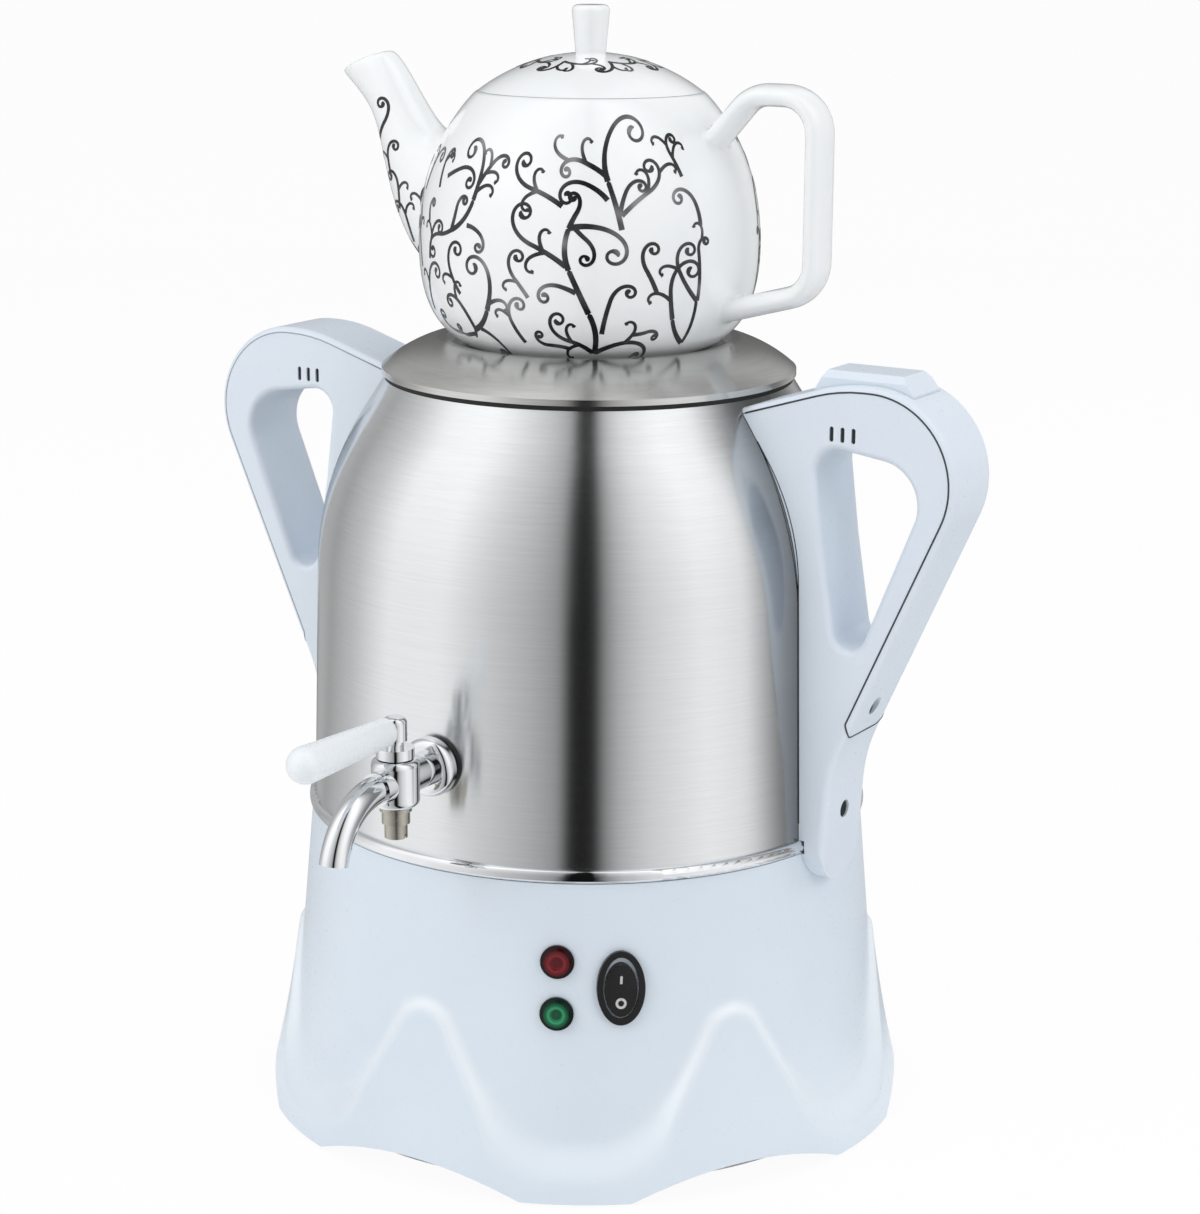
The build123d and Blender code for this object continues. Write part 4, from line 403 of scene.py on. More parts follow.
def base_spot(turn, z):
    """Point on the base wall at an angle from the tap and a height, and the normal there; in metres."""
    a, tilt = math.radians(turn), math.atan(BASE_SLOPE)
    reach = base_radius(z)
    spot = Vector((reach * math.sin(a), -reach * math.cos(a), z)) * MM
    return spot, Vector((math.sin(a) * math.cos(tilt), -math.cos(a) * math.cos(tilt), math.sin(tilt)))


WHITE = moulded("white_plastic", srgb(218, 228, 239), srgb(224, 233, 243), 0.32)
# The paler colour is a painted highlight along the wave's ridge
BASE_WHITE = moulded("base_white", srgb(216, 227, 238), srgb(222, 232, 242), 0.32, ridge_highlight=srgb(236, 243, 249))
GREY = moulded("grey_plastic", srgb(176, 180, 186), srgb(190, 194, 200), 0.5)
BLACK = moulded("black_plastic", srgb(12, 12, 14), srgb(20, 20, 23), 0.3)
RUBBER = moulded("rubber", srgb(20, 20, 21), srgb(34, 34, 36), 0.65)
# Painted shade on the steel wall beside the handles, darkest at the right one
WALL_PAINTED_SHADE = [
    (-180, 0.9), (-112, 0.9), (-100, 0.45), (-60, 0.45), (-51, 0.5), (-47, 0.9), (-44, 1.0), (58, 1.0),
    (64, 0.94), (69, 0.74), (74, 0.48), (80, 0.34), (100, 0.36), (112, 0.9), (180, 0.9),
]
STEEL = brushed("brushed_steel", srgb(220, 222, 223), srgb(227, 229, 230), 0.20, 0.85, WALL_PAINTED_SHADE)
LID_STEEL = brushed("lid_steel", srgb(200, 200, 198), srgb(210, 210, 208), 0.24, 0.85)
CHROME = metal("chrome", srgb(222, 224, 227), srgb(236, 238, 240), 0.06, 240.0, 0.002)
BRASS = metal("plated_brass", srgb(170, 166, 156), srgb(190, 186, 176), 0.3)
ALUMINIUM = metal("aluminium", srgb(196, 197, 199), srgb(212, 213, 215), 0.35)
ZINC = metal("zinc_steel", srgb(150, 152, 156), srgb(176, 178, 182), 0.3)
CERAMIC = moulded("thermostat_ceramic", srgb(226, 222, 212), srgb(236, 233, 224), 0.6)
PORCELAIN = glaze("porcelain")
INK = ink("ornament_ink")
# Lens tones by distance from the lamp's axis: the lighter band near 2.5 mm is a painted highlight ring, and
# the tone darkens towards the rim
RED = lens("red_lens", *base_spot(LAMP_TURN, RED_LAMP_Z), [
    (0.0, srgb(96, 10, 18)), (1.6, srgb(90, 8, 16)), (2.5, srgb(138, 36, 44)), (3.4, srgb(112, 16, 26)),
    (4.4, srgb(70, 6, 14)), (5.3, srgb(30, 3, 8)), (6.4, srgb(24, 3, 6)),
])
GREEN = lens("green_lens", *base_spot(LAMP_TURN, GREEN_LAMP_Z), [
    (0.0, srgb(12, 88, 58)), (1.6, srgb(10, 80, 52)), (2.5, srgb(64, 170, 122)), (3.4, srgb(16, 108, 70)),
    (4.4, srgb(6, 62, 40)), (5.3, srgb(4, 26, 18)), (6.4, srgb(3, 20, 14)),
])
GRIP_WHITE = moulded("grip_white", srgb(236, 241, 246), srgb(242, 246, 250), 0.30, depth=0.002)
# Dark and grey tubes paint the shade in the handle seams and where the handles meet the wall
SHADE_LINE_GREY = moulded("shade_line_grey", srgb(146, 153, 164), srgb(166, 173, 184), 0.5)
SHADE_LINE_DARK = moulded("shade_line_dark", srgb(46, 50, 56), srgb(66, 70, 76), 0.55)
SCREW_DARK = metal("screw_dark", srgb(58, 60, 64), srgb(92, 94, 98), 0.35)
MARK = moulded("mark_white", srgb(186, 186, 188), srgb(204, 204, 206), 0.4)

SLOT_LOOKS = {
    "white_plastic": WHITE,
    "grey_plastic": GREY,
    "black_plastic": BLACK,
    "rubber": RUBBER,
    "red_lens": RED,
    "green_lens": GREEN,
    "brushed_steel": STEEL,
    "chrome": CHROME,
    "brass": BRASS,
    "aluminium": ALUMINIUM,
    "thermostat_ceramic": CERAMIC,
    "zinc_steel": ZINC,
    "porcelain": PORCELAIN,
}
for row in frame["record"]["subparts"]:
    node = NODES[row["node"]]
    node.data.materials.clear()
    node.data.materials.append(SLOT_LOOKS[row["material_slot"]])
NODES["lid_cover"].data.materials[0] = LID_STEEL
NODES["lever_grip"].data.materials[0] = GRIP_WHITE
for name in ("cover_screws", "foot_screws"):
    NODES[name].data.materials[0] = SCREW_DARK


# Base skin
LOBES = 6
SKIRT_FOOT = 122.0
SKIRT_TOP_Z = 64.4
SKIRT_STEP = 1.8
SKIRT_HOLLOW = 1.2
FOOT_GAP = 1.0
WAVE_PLANE = 115.5
WAVE_SOFT = 2.0
WAVE_SOFT_LOW = 4.5
SOFT_FROM_Z, SOFT_DEPTH = 38.0, 22.0
# Width and low fade of the painted highlight along the wave's ridge
RIDGE_HIGHLIGHT_SPREAD, RIDGE_HIGHLIGHT_FADE = 0.3, 0.6
FOOT_ARCH_HALF, FOOT_ARCH_RADIUS, FOOT_ARCH_DROP = 43.0, 107.2, 98.2
DECK_RING = 8.0


def circle_through(a, b, c):
    """Centre and radius of the circle through three points."""
    ax, ay = a
    bx, by = b
    cx, cy = c
    d = 2 * (ax * (by - cy) + bx * (cy - ay) + cx * (ay - by))
    ux = ((ax**2 + ay**2) * (by - cy) + (bx**2 + by**2) * (cy - ay) + (cx**2 + cy**2) * (ay - by)) / d
    uy = ((ax**2 + ay**2) * (cx - bx) + (bx**2 + by**2) * (ax - cx) + (cx**2 + cy**2) * (bx - ax)) / d
    return (ux, uy), math.hypot(ax - ux, ay - uy)


skirt_top = base_radius(SKIRT_TOP_Z) + SKIRT_STEP
skirt_mid = ((skirt_top + SKIRT_FOOT) / 2 - SKIRT_HOLLOW, (SKIRT_TOP_Z + FOOT_GAP) / 2)
flare_centre, flare_radius = circle_through((skirt_top, SKIRT_TOP_Z), skirt_mid, (SKIRT_FOOT, FOOT_GAP))


def skirt_radius(z):
    """Outer radius of the flared skirt at a height, held at its top radius above the wave."""
    dz = min(z, SKIRT_TOP_Z) - flare_centre[1]
    r = flare_centre[0] - math.sqrt(max(flare_radius**2 - dz**2, 0.0))
    return r + max(0.0, z - SKIRT_TOP_Z) * -BASE_SLOPE


ARCH_VALLEY = 14.0
ARCH_SLOPE = math.tan(math.radians(59.5))
ARCH_TOP_RADIUS = 12.0
ARCH_FOOT_RADIUS = 30.0
flank_sin = ARCH_SLOPE / math.hypot(1.0, ARCH_SLOPE)
flank_cos = 1.0 / math.hypot(1.0, ARCH_SLOPE)
arch_apex = SKIRT_TOP_Z - ARCH_TOP_RADIUS + ARCH_TOP_RADIUS / flank_cos
flank_top = ARCH_TOP_RADIUS * flank_sin
foot_centre = (arch_apex - ARCH_VALLEY - ARCH_FOOT_RADIUS) / ARCH_SLOPE + ARCH_FOOT_RADIUS / flank_sin
flank_foot = foot_centre - ARCH_FOOT_RADIUS * flank_sin


def wave_height(x):
    """Height of the wave line at a sideways distance from an arch's middle, and its slope."""
    x = abs(x)
    if x <= flank_top:
        root = math.sqrt(ARCH_TOP_RADIUS**2 - x * x)
        return SKIRT_TOP_Z - ARCH_TOP_RADIUS + root, x / root
    if x <= flank_foot:
        return arch_apex - ARCH_SLOPE * x, ARCH_SLOPE
    if x <= foot_centre:
        root = math.sqrt(ARCH_FOOT_RADIUS**2 - (x - foot_centre) ** 2)
        return ARCH_VALLEY + ARCH_FOOT_RADIUS - root, (foot_centre - x) / root
    return ARCH_VALLEY, 0.0


def smooth(t):
    """Soft step from 0 to 1."""
    t = min(1.0, max(0.0, t))
    return t * t * (3 - 2 * t)


def from_lobe(turn):
    """Angle from the middle of the nearest lobe."""
    pitch = 2 * math.pi / LOBES
    return (turn + pitch / 2) % pitch - pitch / 2


def base_outer(turn, z):
    """Outer radius of the base at an angle from the tap and a height, and the weight of the painted highlight
    along the wave's ridge.
    """
    x = WAVE_PLANE * math.sin(from_lobe(turn))
    height, slope = wave_height(x)
    inside = (height - z) / math.sqrt(1 + slope * slope)
    low = smooth((SOFT_FROM_Z - height) / SOFT_DEPTH)
    soft = WAVE_SOFT + WAVE_SOFT_LOW * low
    share = smooth(0.5 + inside / (2 * soft))
    wall = base_radius(z)
    ridge_highlight = (1 - RIDGE_HIGHLIGHT_FADE * low) * math.exp(-((inside / (soft + RIDGE_HIGHLIGHT_SPREAD)) ** 2))
    return wall + share * max(0.0, skirt_radius(z) - wall), ridge_highlight


def base_foot(turn):
    """Height of the base's lower edge at an angle from the tap."""
    x = SKIRT_FOOT * math.sin(from_lobe(turn))
    if abs(x) >= FOOT_ARCH_HALF:
        return FOOT_GAP
    return FOOT_GAP + math.sqrt(FOOT_ARCH_RADIUS**2 - x * x) - FOOT_ARCH_DROP


def make_base():
    """Moulded skin with the soft wave, its lower edge and an inner wall."""
    turns, rows, inner_step = 720, 140, 6
    verts, faces, ridge_highlights = [], [], []
    for k in range(turns):
        turn = 2 * math.pi * k / turns
        low = base_foot(turn)
        ring, near = [], []
        for j in range(rows + 1):
            z = low + (BASE_HEIGHT - low) * (j / rows)
            r, ridge_highlight = base_outer(turn, z)
            ring.append((r, z))
            near.append(ridge_highlight)
        ring.append((BASE_TOP_RADIUS - DECK_RING, BASE_HEIGHT))
        ring.append((BASE_TOP_RADIUS - DECK_RING, BASE_HEIGHT - BASE_WALL))
        for j in range(rows, -1, -inner_step):
            r, z = ring[j]
            ring.append((r - BASE_WALL, min(z, BASE_HEIGHT - BASE_WALL)))
        for r, z in ring:
            verts.append((r * math.sin(turn) * MM, -r * math.cos(turn) * MM, z * MM))
        ridge_highlights += near + [0.0] * (len(ring) - len(near))
    size = len(ring)
    for k in range(turns):
        n = (k + 1) % turns
        for j in range(size):
            m = (j + 1) % size
            faces.append((k * size + j, n * size + j, n * size + m, k * size + m))
    obj = add_mesh("base_skin", verts, faces)
    # Weights of the painted highlight along the wave's ridge
    obj.data.attributes.new("ridge_highlight", "FLOAT", "POINT").data.foreach_set("value", ridge_highlights)
    fix_normals(obj)
    sharpen(obj, 40.0)
    return dress(obj, "boiler", BASE_WHITE, "base_shell")


make_base()

# Pot skin
CAMERA_TURN = math.radians(31.3)


def soft_copy(name, nodes, voxel, rounds):
    """Copy of the shape of some CAD nodes as one skin with softened inner corners."""
    mesh = bpy.data.meshes.new(name + "_raw")
    bm = bmesh.new()
    for node in nodes:
        source = NODES[node]
        copy = source.data.copy()
        copy.transform(source.matrix_world)
        bm.from_mesh(copy)
        bpy.data.meshes.remove(copy)
    bmesh.ops.remove_doubles(bm, verts=bm.verts, dist=1e-6)
    bm.to_mesh(mesh)
    bm.free()
    rough_obj = bpy.data.objects.new(name + "_raw", mesh)
    bpy.context.scene.collection.objects.link(rough_obj)
    grid = rough_obj.modifiers.new("grid", "REMESH")
    grid.mode = "VOXEL"
    grid.voxel_size = voxel * MM
    soft = rough_obj.modifiers.new("soft", "SMOOTH")
    soft.factor = 0.5
    soft.iterations = rounds
    graph = bpy.context.evaluated_depsgraph_get()
    done = bpy.data.meshes.new_from_object(rough_obj.evaluated_get(graph))
    bpy.data.objects.remove(rough_obj)
    done.name = name
    obj = bpy.data.objects.new(name, done)
    bpy.context.scene.collection.objects.link(obj)
    for poly in done.polygons:
        poly.use_smooth = True
    return obj


POT_NODES = ("teapot_body", "teapot_spout", "teapot_handle")
pot_skin = dress(soft_copy("pot_skin", POT_NODES, 0.9, 12), "teapot", PORCELAIN, POT_NODES)


# Scroll ornament
def tree_of(obj):
    """Ray-casting tree of an object's mesh."""
    place = obj.matrix_world
    points = [place @ v.co for v in obj.data.vertices]
    return BVHTree.FromPolygons(points, [tuple(q.vertices) for q in obj.data.polygons])


def walk(start, heading, length, curve, count):
    """Points and headings along a line whose curvature is given; heading 0 is up, positive to the right."""
    x, y = start
    points, turns = [(x, y)], [heading]
    step = length / count
    for k in range(count):
        heading += curve((k + 0.5) / count) * step
        x += math.sin(heading) * step
        y += math.cos(heading) * step
        points.append((x, y))
        turns.append(heading)
    return points, turns


CURL_LENGTH, CURL_END = 2.6, 0.85
TIP_PLACE, TIP_SPREAD, TIP_SWELL, TIP_CUT = 0.96, 0.028, 0.45, 0.35


def tighten(hand, size):
    """Curvature along a curl that tightens towards its end; hand is its side."""
    return lambda t: hand * (0.35 + 3.4 * t * t) * 2 / size


class Vine:
    """Strokes of a scroll vine in a flat field: points, start width and end width in millimetres."""

    def __init__(self):
        self.strokes = []

    def branch(self, start, heading, length, bend, curl, width, sprigs=()):
        """Arc that bends by an angle and then tightens into a curl; sprigs are (place, side, size)."""
        hand = 1 if curl > 0 else -1
        points, turns = walk(start, math.radians(heading), length, lambda t: math.radians(bend) / length, 24)
        end, end_turn = points[-1], turns[-1]
        if curl:
            size = abs(curl)
            tail, tail_turns = walk(end, end_turn, CURL_LENGTH * size, tighten(hand, size), 40)
            points = points + tail[1:]
            turns = turns + tail_turns[1:]
        self.strokes.append((points, width, CURL_END if curl else width * CURL_END))
        for place, side, size in sprigs:
            at = int(place * (len(points) - 1))
            turn = turns[at] + side * math.radians(38)
            hook = walk(points[at], turn, 1.9 * size, lambda t: side * (0.1 + 2.6 * t * t) * 2 / size, 22)[0]
            self.strokes.append((hook, width * 0.75, 0.8))
        return end, math.degrees(end_turn)

    def stretch(self, wide, tall):
        """Widens the right half and raises all strokes."""
        for k, (points, start, end) in enumerate(self.strokes):
            self.strokes[k] = ([(x * (wide if x > 0 else 1.0), y * tall) for x, y in points], start, end)

    def grow(self, low, high, clear, tries, seed):
        """Adds curls that start on the strokes and fill the field's free room, by a fixed random series."""
        cell = 0.4
        pick = np.random.RandomState(seed)
        taken = np.zeros([int((b - a) / cell) + 1 for a, b in zip(low, high)], bool)
        room = int(clear / cell)

        def mark(points):
            for x, y in points:
                i, k = int((x - low[0]) / cell), int((y - low[1]) / cell)
                taken[max(0, i - room):max(0, i + room + 1), max(0, k - room):max(0, k + room + 1)] = True

        for points, _, _ in self.strokes:
            mark(points)
        for _ in range(tries):
            points, _, _ = self.strokes[pick.randint(len(self.strokes))]
            at = pick.randint(2, max(3, int(0.62 * len(points))))
            x, y = points[at]
            heading = math.atan2(x - points[at - 1][0], y - points[at - 1][1])
            side = 1 if pick.rand() < 0.5 else -1
            size = 3.6 + 6.5 * pick.rand() ** 1.3
            length = size * (0.6 + 1.1 * pick.rand())
            turn = heading + side * math.radians(28 + 34 * pick.rand())
            bend = -side * math.radians(40 * pick.rand())
            curl = side if pick.rand() < 0.7 else -side
            stem, turns = walk((x, y), turn, length, lambda t: bend / length, 14)
            tail, _ = walk(stem[-1], turns[-1], CURL_LENGTH * size, tighten(curl, size), 34)
            path = stem + tail[1:]
            skip = next((k for k, q in enumerate(path) if math.dist(q, (x, y)) > clear + 1.0), len(path))
            spots = [(int((u - low[0]) // cell), int((w - low[1]) // cell)) for u, w in path[skip:]]
            if all(0 <= i < taken.shape[0] and 0 <= k < taken.shape[1] and not taken[i, k] for i, k in spots):
                self.strokes.append((path, 1.2 + 0.05 * size, CURL_END))
                mark(path)


def ribbons(name, strokes, place, lift=0.07, sink=0.3):
    """Thin raised strips along strokes, laid on a surface by a placing function."""
    verts, faces = [], []
    for points, start_width, end_width in strokes:
        rows = []
        count = len(points)
        for k, (x, y) in enumerate(points):
            x0, y0 = points[max(0, k - 1)]
            x1, y1 = points[min(count - 1, k + 1)]
            dx, dy = x1 - x0, y1 - y0
            long = math.hypot(dx, dy) or 1.0
            nx, ny = -dy / long, dx / long
            t = k / (count - 1)
            half = (start_width + (end_width - start_width) * t) / 2
            if end_width < 0.9:
                half += 0.06
                half += TIP_SWELL * math.exp(-(((t - TIP_PLACE) / TIP_SPREAD) ** 2))
            if k == count - 1:
                half *= TIP_CUT
            row = []
            for sign in (-1, 1):
                hit = place(x + nx * half * sign, y + ny * half * sign)
                if hit is None:
                    break
                row.append(hit)
            rows.append(row if len(row) == 2 else None)
        last = None
        for row in rows:
            if row is None:
                last = None
                continue
            base = len(verts)
            for spot, normal in row:
                verts.append(spot + normal * (lift * MM))
                verts.append(spot - normal * (sink * MM))
            if last is not None:
                a, b = last, base
                faces.append((a, a + 2, b + 2, b))
                faces.append((a + 1, b + 1, b + 3, a + 3))
                faces.append((a, b, b + 1, a + 1))
                faces.append((a + 2, a + 3, b + 3, b + 2))
            else:
                faces.append((base, base + 1, base + 3, base + 2))
            last = base
        if last is not None:
            faces.append((last, last + 2, last + 3, last + 1))
    obj = add_mesh(name, verts, faces)
    fix_normals(obj)
    sharpen(obj, 50.0)
    return obj


pot_tree = tree_of(pot_skin)
ORNAMENT_RADIUS = 60.0
BELLY_REACH, SPOUT_HALF = 0.0655, 0.03


def on_pot(mirror):
    """Placing on the pot's belly; x runs round it from the camera side, y is the rise."""

    def place(x, y):
        turn = CAMERA_TURN + x / ORNAMENT_RADIUS
        if mirror:
            turn = math.pi - turn
        out = Vector((math.sin(turn), -math.cos(turn), 0.0))
        spot, normal, _, _ = pot_tree.ray_cast(out * 0.2 + Vector((0, 0, (POT_Z + y) * MM)), -out)
        if spot is None or math.hypot(spot.x, spot.y) > BELLY_REACH:
            return None
        return spot, normal

    return place


def belly_vines():
    """Scroll vines round the side of the pot; x runs round it from the camera side, y is the rise."""
    v = Vine()
    # front tree
    a, h = v.branch((2, 3.5), 12, 15, -38, 0, 2.2)
    v.branch((2.6, 4), 58, 9, 18, 9.5, 1.9, [(0.42, -1, 6)])
    v.branch((1.4, 4), -50, 10, -26, 8.5, 1.7, [(0.34, 1, 5), (0.22, -1, 5.5)])
    v.branch((4.2, 11), 6, 12, 10, 6.5, 1.7)
    b, h = v.branch(a, h, 16, 2, 0, 2.1)
    v.branch((a[0] - 4.4, a[1] + 7), -62, 6, -12, -6.8, 1.7)
    c, _ = v.branch(b, h, 14, 46, 0, 2.0)
    v.branch((b[0] - 1, b[1] + 1.2), -52, 14, -16, 11, 1.8, [(0.25, 1, 5.5), (0.22, -1, 7)])
    v.branch(c, 22, 6, 10, -5, 1.8)
    v.branch(c, 74, 10, 28, 10.5, 2.0)
    # upper right tree
    d, h3 = v.branch((c[0] + 16.5, c[1] - 0.5), -10, 16, -8, 0, 2.0)
    v.branch((c[0] + 16.6, c[1] + 4), 42, 12, 16, -8, 1.6, [(0.35, -1, 6), (0.6, 1, 5)])
    v.branch((c[0] + 16.2, c[1] + 5), 8, 7, 16, 5.5, 1.5)
    v.branch(d, h3, 9, 26, 13.5, 2.1)
    v.branch((d[0] - 0.2, d[1] - 6), -36, 8, -30, -8.5, 1.8)
    v.branch((d[0] - 0.4, d[1] + 1.5), -48, 10, -24, -6.5, 1.8, [(0.3, 1, 6), (0.55, 1, 7)])
    v.branch((c[0] - 2.5, c[1] + 7), -56, 13, -18, 9.5, 1.7, [(0.3, 1, 5.5), (0.3, -1, 6)])
    # right edge tree
    e, h4 = v.branch((34.5, 6.2), -62, 12, 44, 0, 1.8)
    v.branch(e, h4, 10, 14, 10, 1.8, [(0.25, -1, 6)])
    v.branch((34.5, 6.2), 6, 15, -8, 0, 1.6)
    v.branch((35.2, 21), -46, 13, 22, 7.8, 1.6, [(0.4, -1, 5)])
    v.branch((35.4, 21), 2, 17, -8, 4, 1.4, [(0.62, -1, 4.5)])
    v.branch((31, 62), -14, 8, -10, 5, 1.4, [(0.3, 1, 5), (0.5, -1, 4.5)])
    # left tree
    f, h5 = v.branch((-47, 10), 74, 12, -46, 0, 2.0)
    v.branch(f, h5, 6, -14, -11.5, 2.0, [(0.16, 1, 6)])
    v.branch((-44, 10.6), 104, 5, 24, 7, 1.7)
    v.branch((-47, 10), -8, 10, -34, -6, 1.7, [(0.45, 1, 5)])
    v.branch((-50, 22), -40, 9, 18, 8.5, 1.5, [(0.25, -1, 5)])
    v.branch((-47, 10), -150, 4, 20, 0, 1.4)
    # middle left tree
    g, h6 = v.branch((-54, 43), 72, 15, -56, 0, 1.9)
    v.branch(g, h6, 9, -14, -11, 1.8, [(0.12, 1, 6)])
    v.branch((-46, 45.2), 92, 5, 26, 5.8, 1.6)
    v.branch((-54, 43), 20, 8, -12, 4.5, 1.6)
    v.branch((-54, 43), -118, 8, 26, -8, 1.5)
    v.branch((g[0] + 1, g[1] + 5), 30, 9, 8, 5.5, 1.6, [(0.3, -1, 5), (0.2, 1, 5)])
    v.branch((-62, 60), 62, 9, 12, 7.5, 1.6)
    v.branch((-66, 56), -16, 8, 12, 5, 1.4, [(0.4, 1, 5)])
    # lower middle filler
    v.branch((-25, 7), -30, 8, 10, 7.5, 1.5, [(0.45, -1, 4.5)])
    v.branch((-21, 23), -34, 8, -6, 7.5, 1.4, [(0.3, -1, 4.5)])
    # far left
    v.branch((-74, 14), 10, 12, 10, 8, 1.5, [(0.3, -1, 5)])
    v.branch((-69, 32), 6, 9, 12, 6.5, 1.5, [(0.35, -1, 5)])
    v.branch((-79, 28), -6, 12, -14, -7, 1.5, [(0.4, 1, 5)])
    v.branch((-82, 54), 12, 10, 8, 7, 1.5, [(0.4, -1, 5)])
    v.stretch(1.14, 1.05)
    v.grow((-94.0, 3.0), (45.0, 75.0), 2.6, 1700, 5)
    return v


belly = belly_vines()
for name, mirror in (("pot_ornament_front", False), ("pot_ornament_back", True)):
    dress(ribbons(name, belly.strokes, on_pot(mirror)), "teapot", INK)


def on_spout(side):
    """Placing on the side of the spout; x and y are the row's X and the rise."""

    def place(x, y):
        start = Vector((x * MM, side * 0.1, (POT_Z + y) * MM))
        spot, normal, _, _ = pot_tree.ray_cast(start, Vector((0, -side, 0)))
        if spot is None or normal.y * side < 0.25 or abs(spot.y) > SPOUT_HALF:
            return None
        return spot, normal

    return place


spout = Vine()
spout.branch((-66.0, 20.0), -30, 9, 10, -7.5, 1.5, [(0.35, 1, 5)])
spout.branch((-70.0, 33.0), -4, 10, -14, -7.0, 1.5, [(0.4, 1, 5)])
spout.branch((-76.0, 45.0), 14, 9, -24, -6.0, 1.4, [(0.3, 1, 4.5)])
spout.branch((-80.0, 56.0), -20, 8, 12, 6.0, 1.4, [(0.35, -1, 4.5)])
spout.branch((-88.0, 70.0), 30, 8, 6, -7.0, 1.6)
spout.branch((-62.0, 40.0), 0, 9, -10, 5.5, 1.4, [(0.4, -1, 4.5)])
for side in (-1, 1):
    piece = ribbons("spout_ornament_%s" % ("front" if side < 0 else "back"), spout.strokes, on_spout(side))
    dress(piece, "teapot", INK)

lid_tree = tree_of(NODES["teapot_lid"])
LID_RING = 23.0
LID_CURLS = 7


def on_lid(x, y):
    """Placing on the pot lid; x runs round it, y is outwards from the ring."""
    turn = x / LID_RING
    reach = (LID_RING + y) * MM
    top = Vector((math.sin(turn) * reach, -math.cos(turn) * reach, (POT_LID_Z + 60) * MM))
    spot, normal, _, _ = lid_tree.ray_cast(top, Vector((0, 0, -1)))
    if spot is None or normal.z < 0.3:
        return None
    return spot, normal


ring = Vine()
around = 2 * math.pi * LID_RING
for k in range(LID_CURLS):
    start = around * k / LID_CURLS
    ring.branch((start, -5.0), 62, 10, 26, 6.5, 1.4, [(0.2, -1, 5), (0.36, 1, 5), (0.5, -1, 5)])
    ring.branch((start + 0.4, -4.6), 8, 5, -30, -5.0, 1.3, [(0.3, 1, 4)])
dress(ribbons("lid_ornament", ring.strokes, on_lid), "pot_lid", INK)

# Painted shade in the seams, along the handle walls and in the vents; switch marks
HANDLE_SET, HANDLE_WIDTH, HANDLE_EDGE = 4.1, 30.8, 2.4
HANDLE_TOP, HANDLE_REACH, HANDLE_BEND = 281.5, 154.2, 30.3
HANDLE_ROOT, HANDLE_ROOT_DROP, HANDLE_CREST = 66.0, 14.4, 112.2
HANDLE_ELBOW, HANDLE_FOOT = (110.0, 146.0), (107.4, 101.5)
CREST_RADIUS, ELBOW_RADIUS = 60.0, 60.0
COVER, COVER_TIP, COVER_FLAT = 2.2, 157.5, 18.0
SEAM_START, SEAM_GAP, SEAM_SINK = 76.0, 0.15, 0.1
RIGHT_SEAM_RADIUS, LEFT_SEAM_RADIUS, WALL_LINE_RADIUS = 0.34, 0.26, 0.3
WALL_PROFILE = [(102.7, SEAT_Z), (99.644, 234.71), (75.0, RIM_Z)]
WALL_BEND, WALL_LIFT, WALL_LINE_INSET = 110.0, 0.12, 0.2
WALL_LINE_LOW, WALL_LINE_HIGH = 124.0, 264.0
near_face = -HANDLE_SET - HANDLE_WIDTH / 2
far_face = -HANDLE_SET + HANDLE_WIDTH / 2
bend_run = HANDLE_REACH - HANDLE_BEND - HANDLE_ELBOW[0]
bend_rise = HANDLE_TOP - HANDLE_BEND - HANDLE_ELBOW[1]
handle_lean = math.atan2(bend_run, bend_rise) + math.asin(HANDLE_BEND / math.hypot(bend_run, bend_rise))


def handle_line(grow):
    """Corners of the handle's outer line in X and Z, moved outwards by a length."""
    bend, top = HANDLE_BEND + grow, HANDLE_TOP + grow
    corner = HANDLE_REACH + grow - bend + bend * (1 + math.sin(handle_lean)) / math.cos(handle_lean)
    elbow = corner - (top - HANDLE_ELBOW[1]) * math.tan(handle_lean)
    return [
        (HANDLE_ROOT, top - HANDLE_ROOT_DROP), (HANDLE_CREST, top), (corner, top),
        (elbow, HANDLE_ELBOW[1]), (HANDLE_FOOT[0] + grow, HANDLE_FOOT[1]),
    ]


def tube(name, lines, radius, sides=8):
    """Closed round tubes along lines of points in millimetres."""
    verts, faces = [], []
    for points in lines:
        path = [Vector(q) for q in points]
        side = None
        first = len(verts)
        for k, spot in enumerate(path):
            along = (path[min(k + 1, len(path) - 1)] - path[max(k - 1, 0)]).normalized()
            if side is None:
                side = along.orthogonal()
            side = (side - along * side.dot(along)).normalized()
            up = along.cross(side)
            for m in range(sides):
                a = 2 * math.pi * m / sides
                verts.append((spot + (side * math.cos(a) + up * math.sin(a)) * radius) * MM)
        count = len(path)
        for k in range(count - 1):
            for m in range(sides):
                n = (m + 1) % sides
                a, b = first + k * sides, first + (k + 1) * sides
                faces.append((a + m, a + n, b + n, b + m))
        faces.append(tuple(first + m for m in reversed(range(sides))))
        faces.append(tuple(first + (count - 1) * sides + m for m in range(sides)))
    obj = add_mesh(name, verts, faces)
    fix_normals(obj)
    return obj


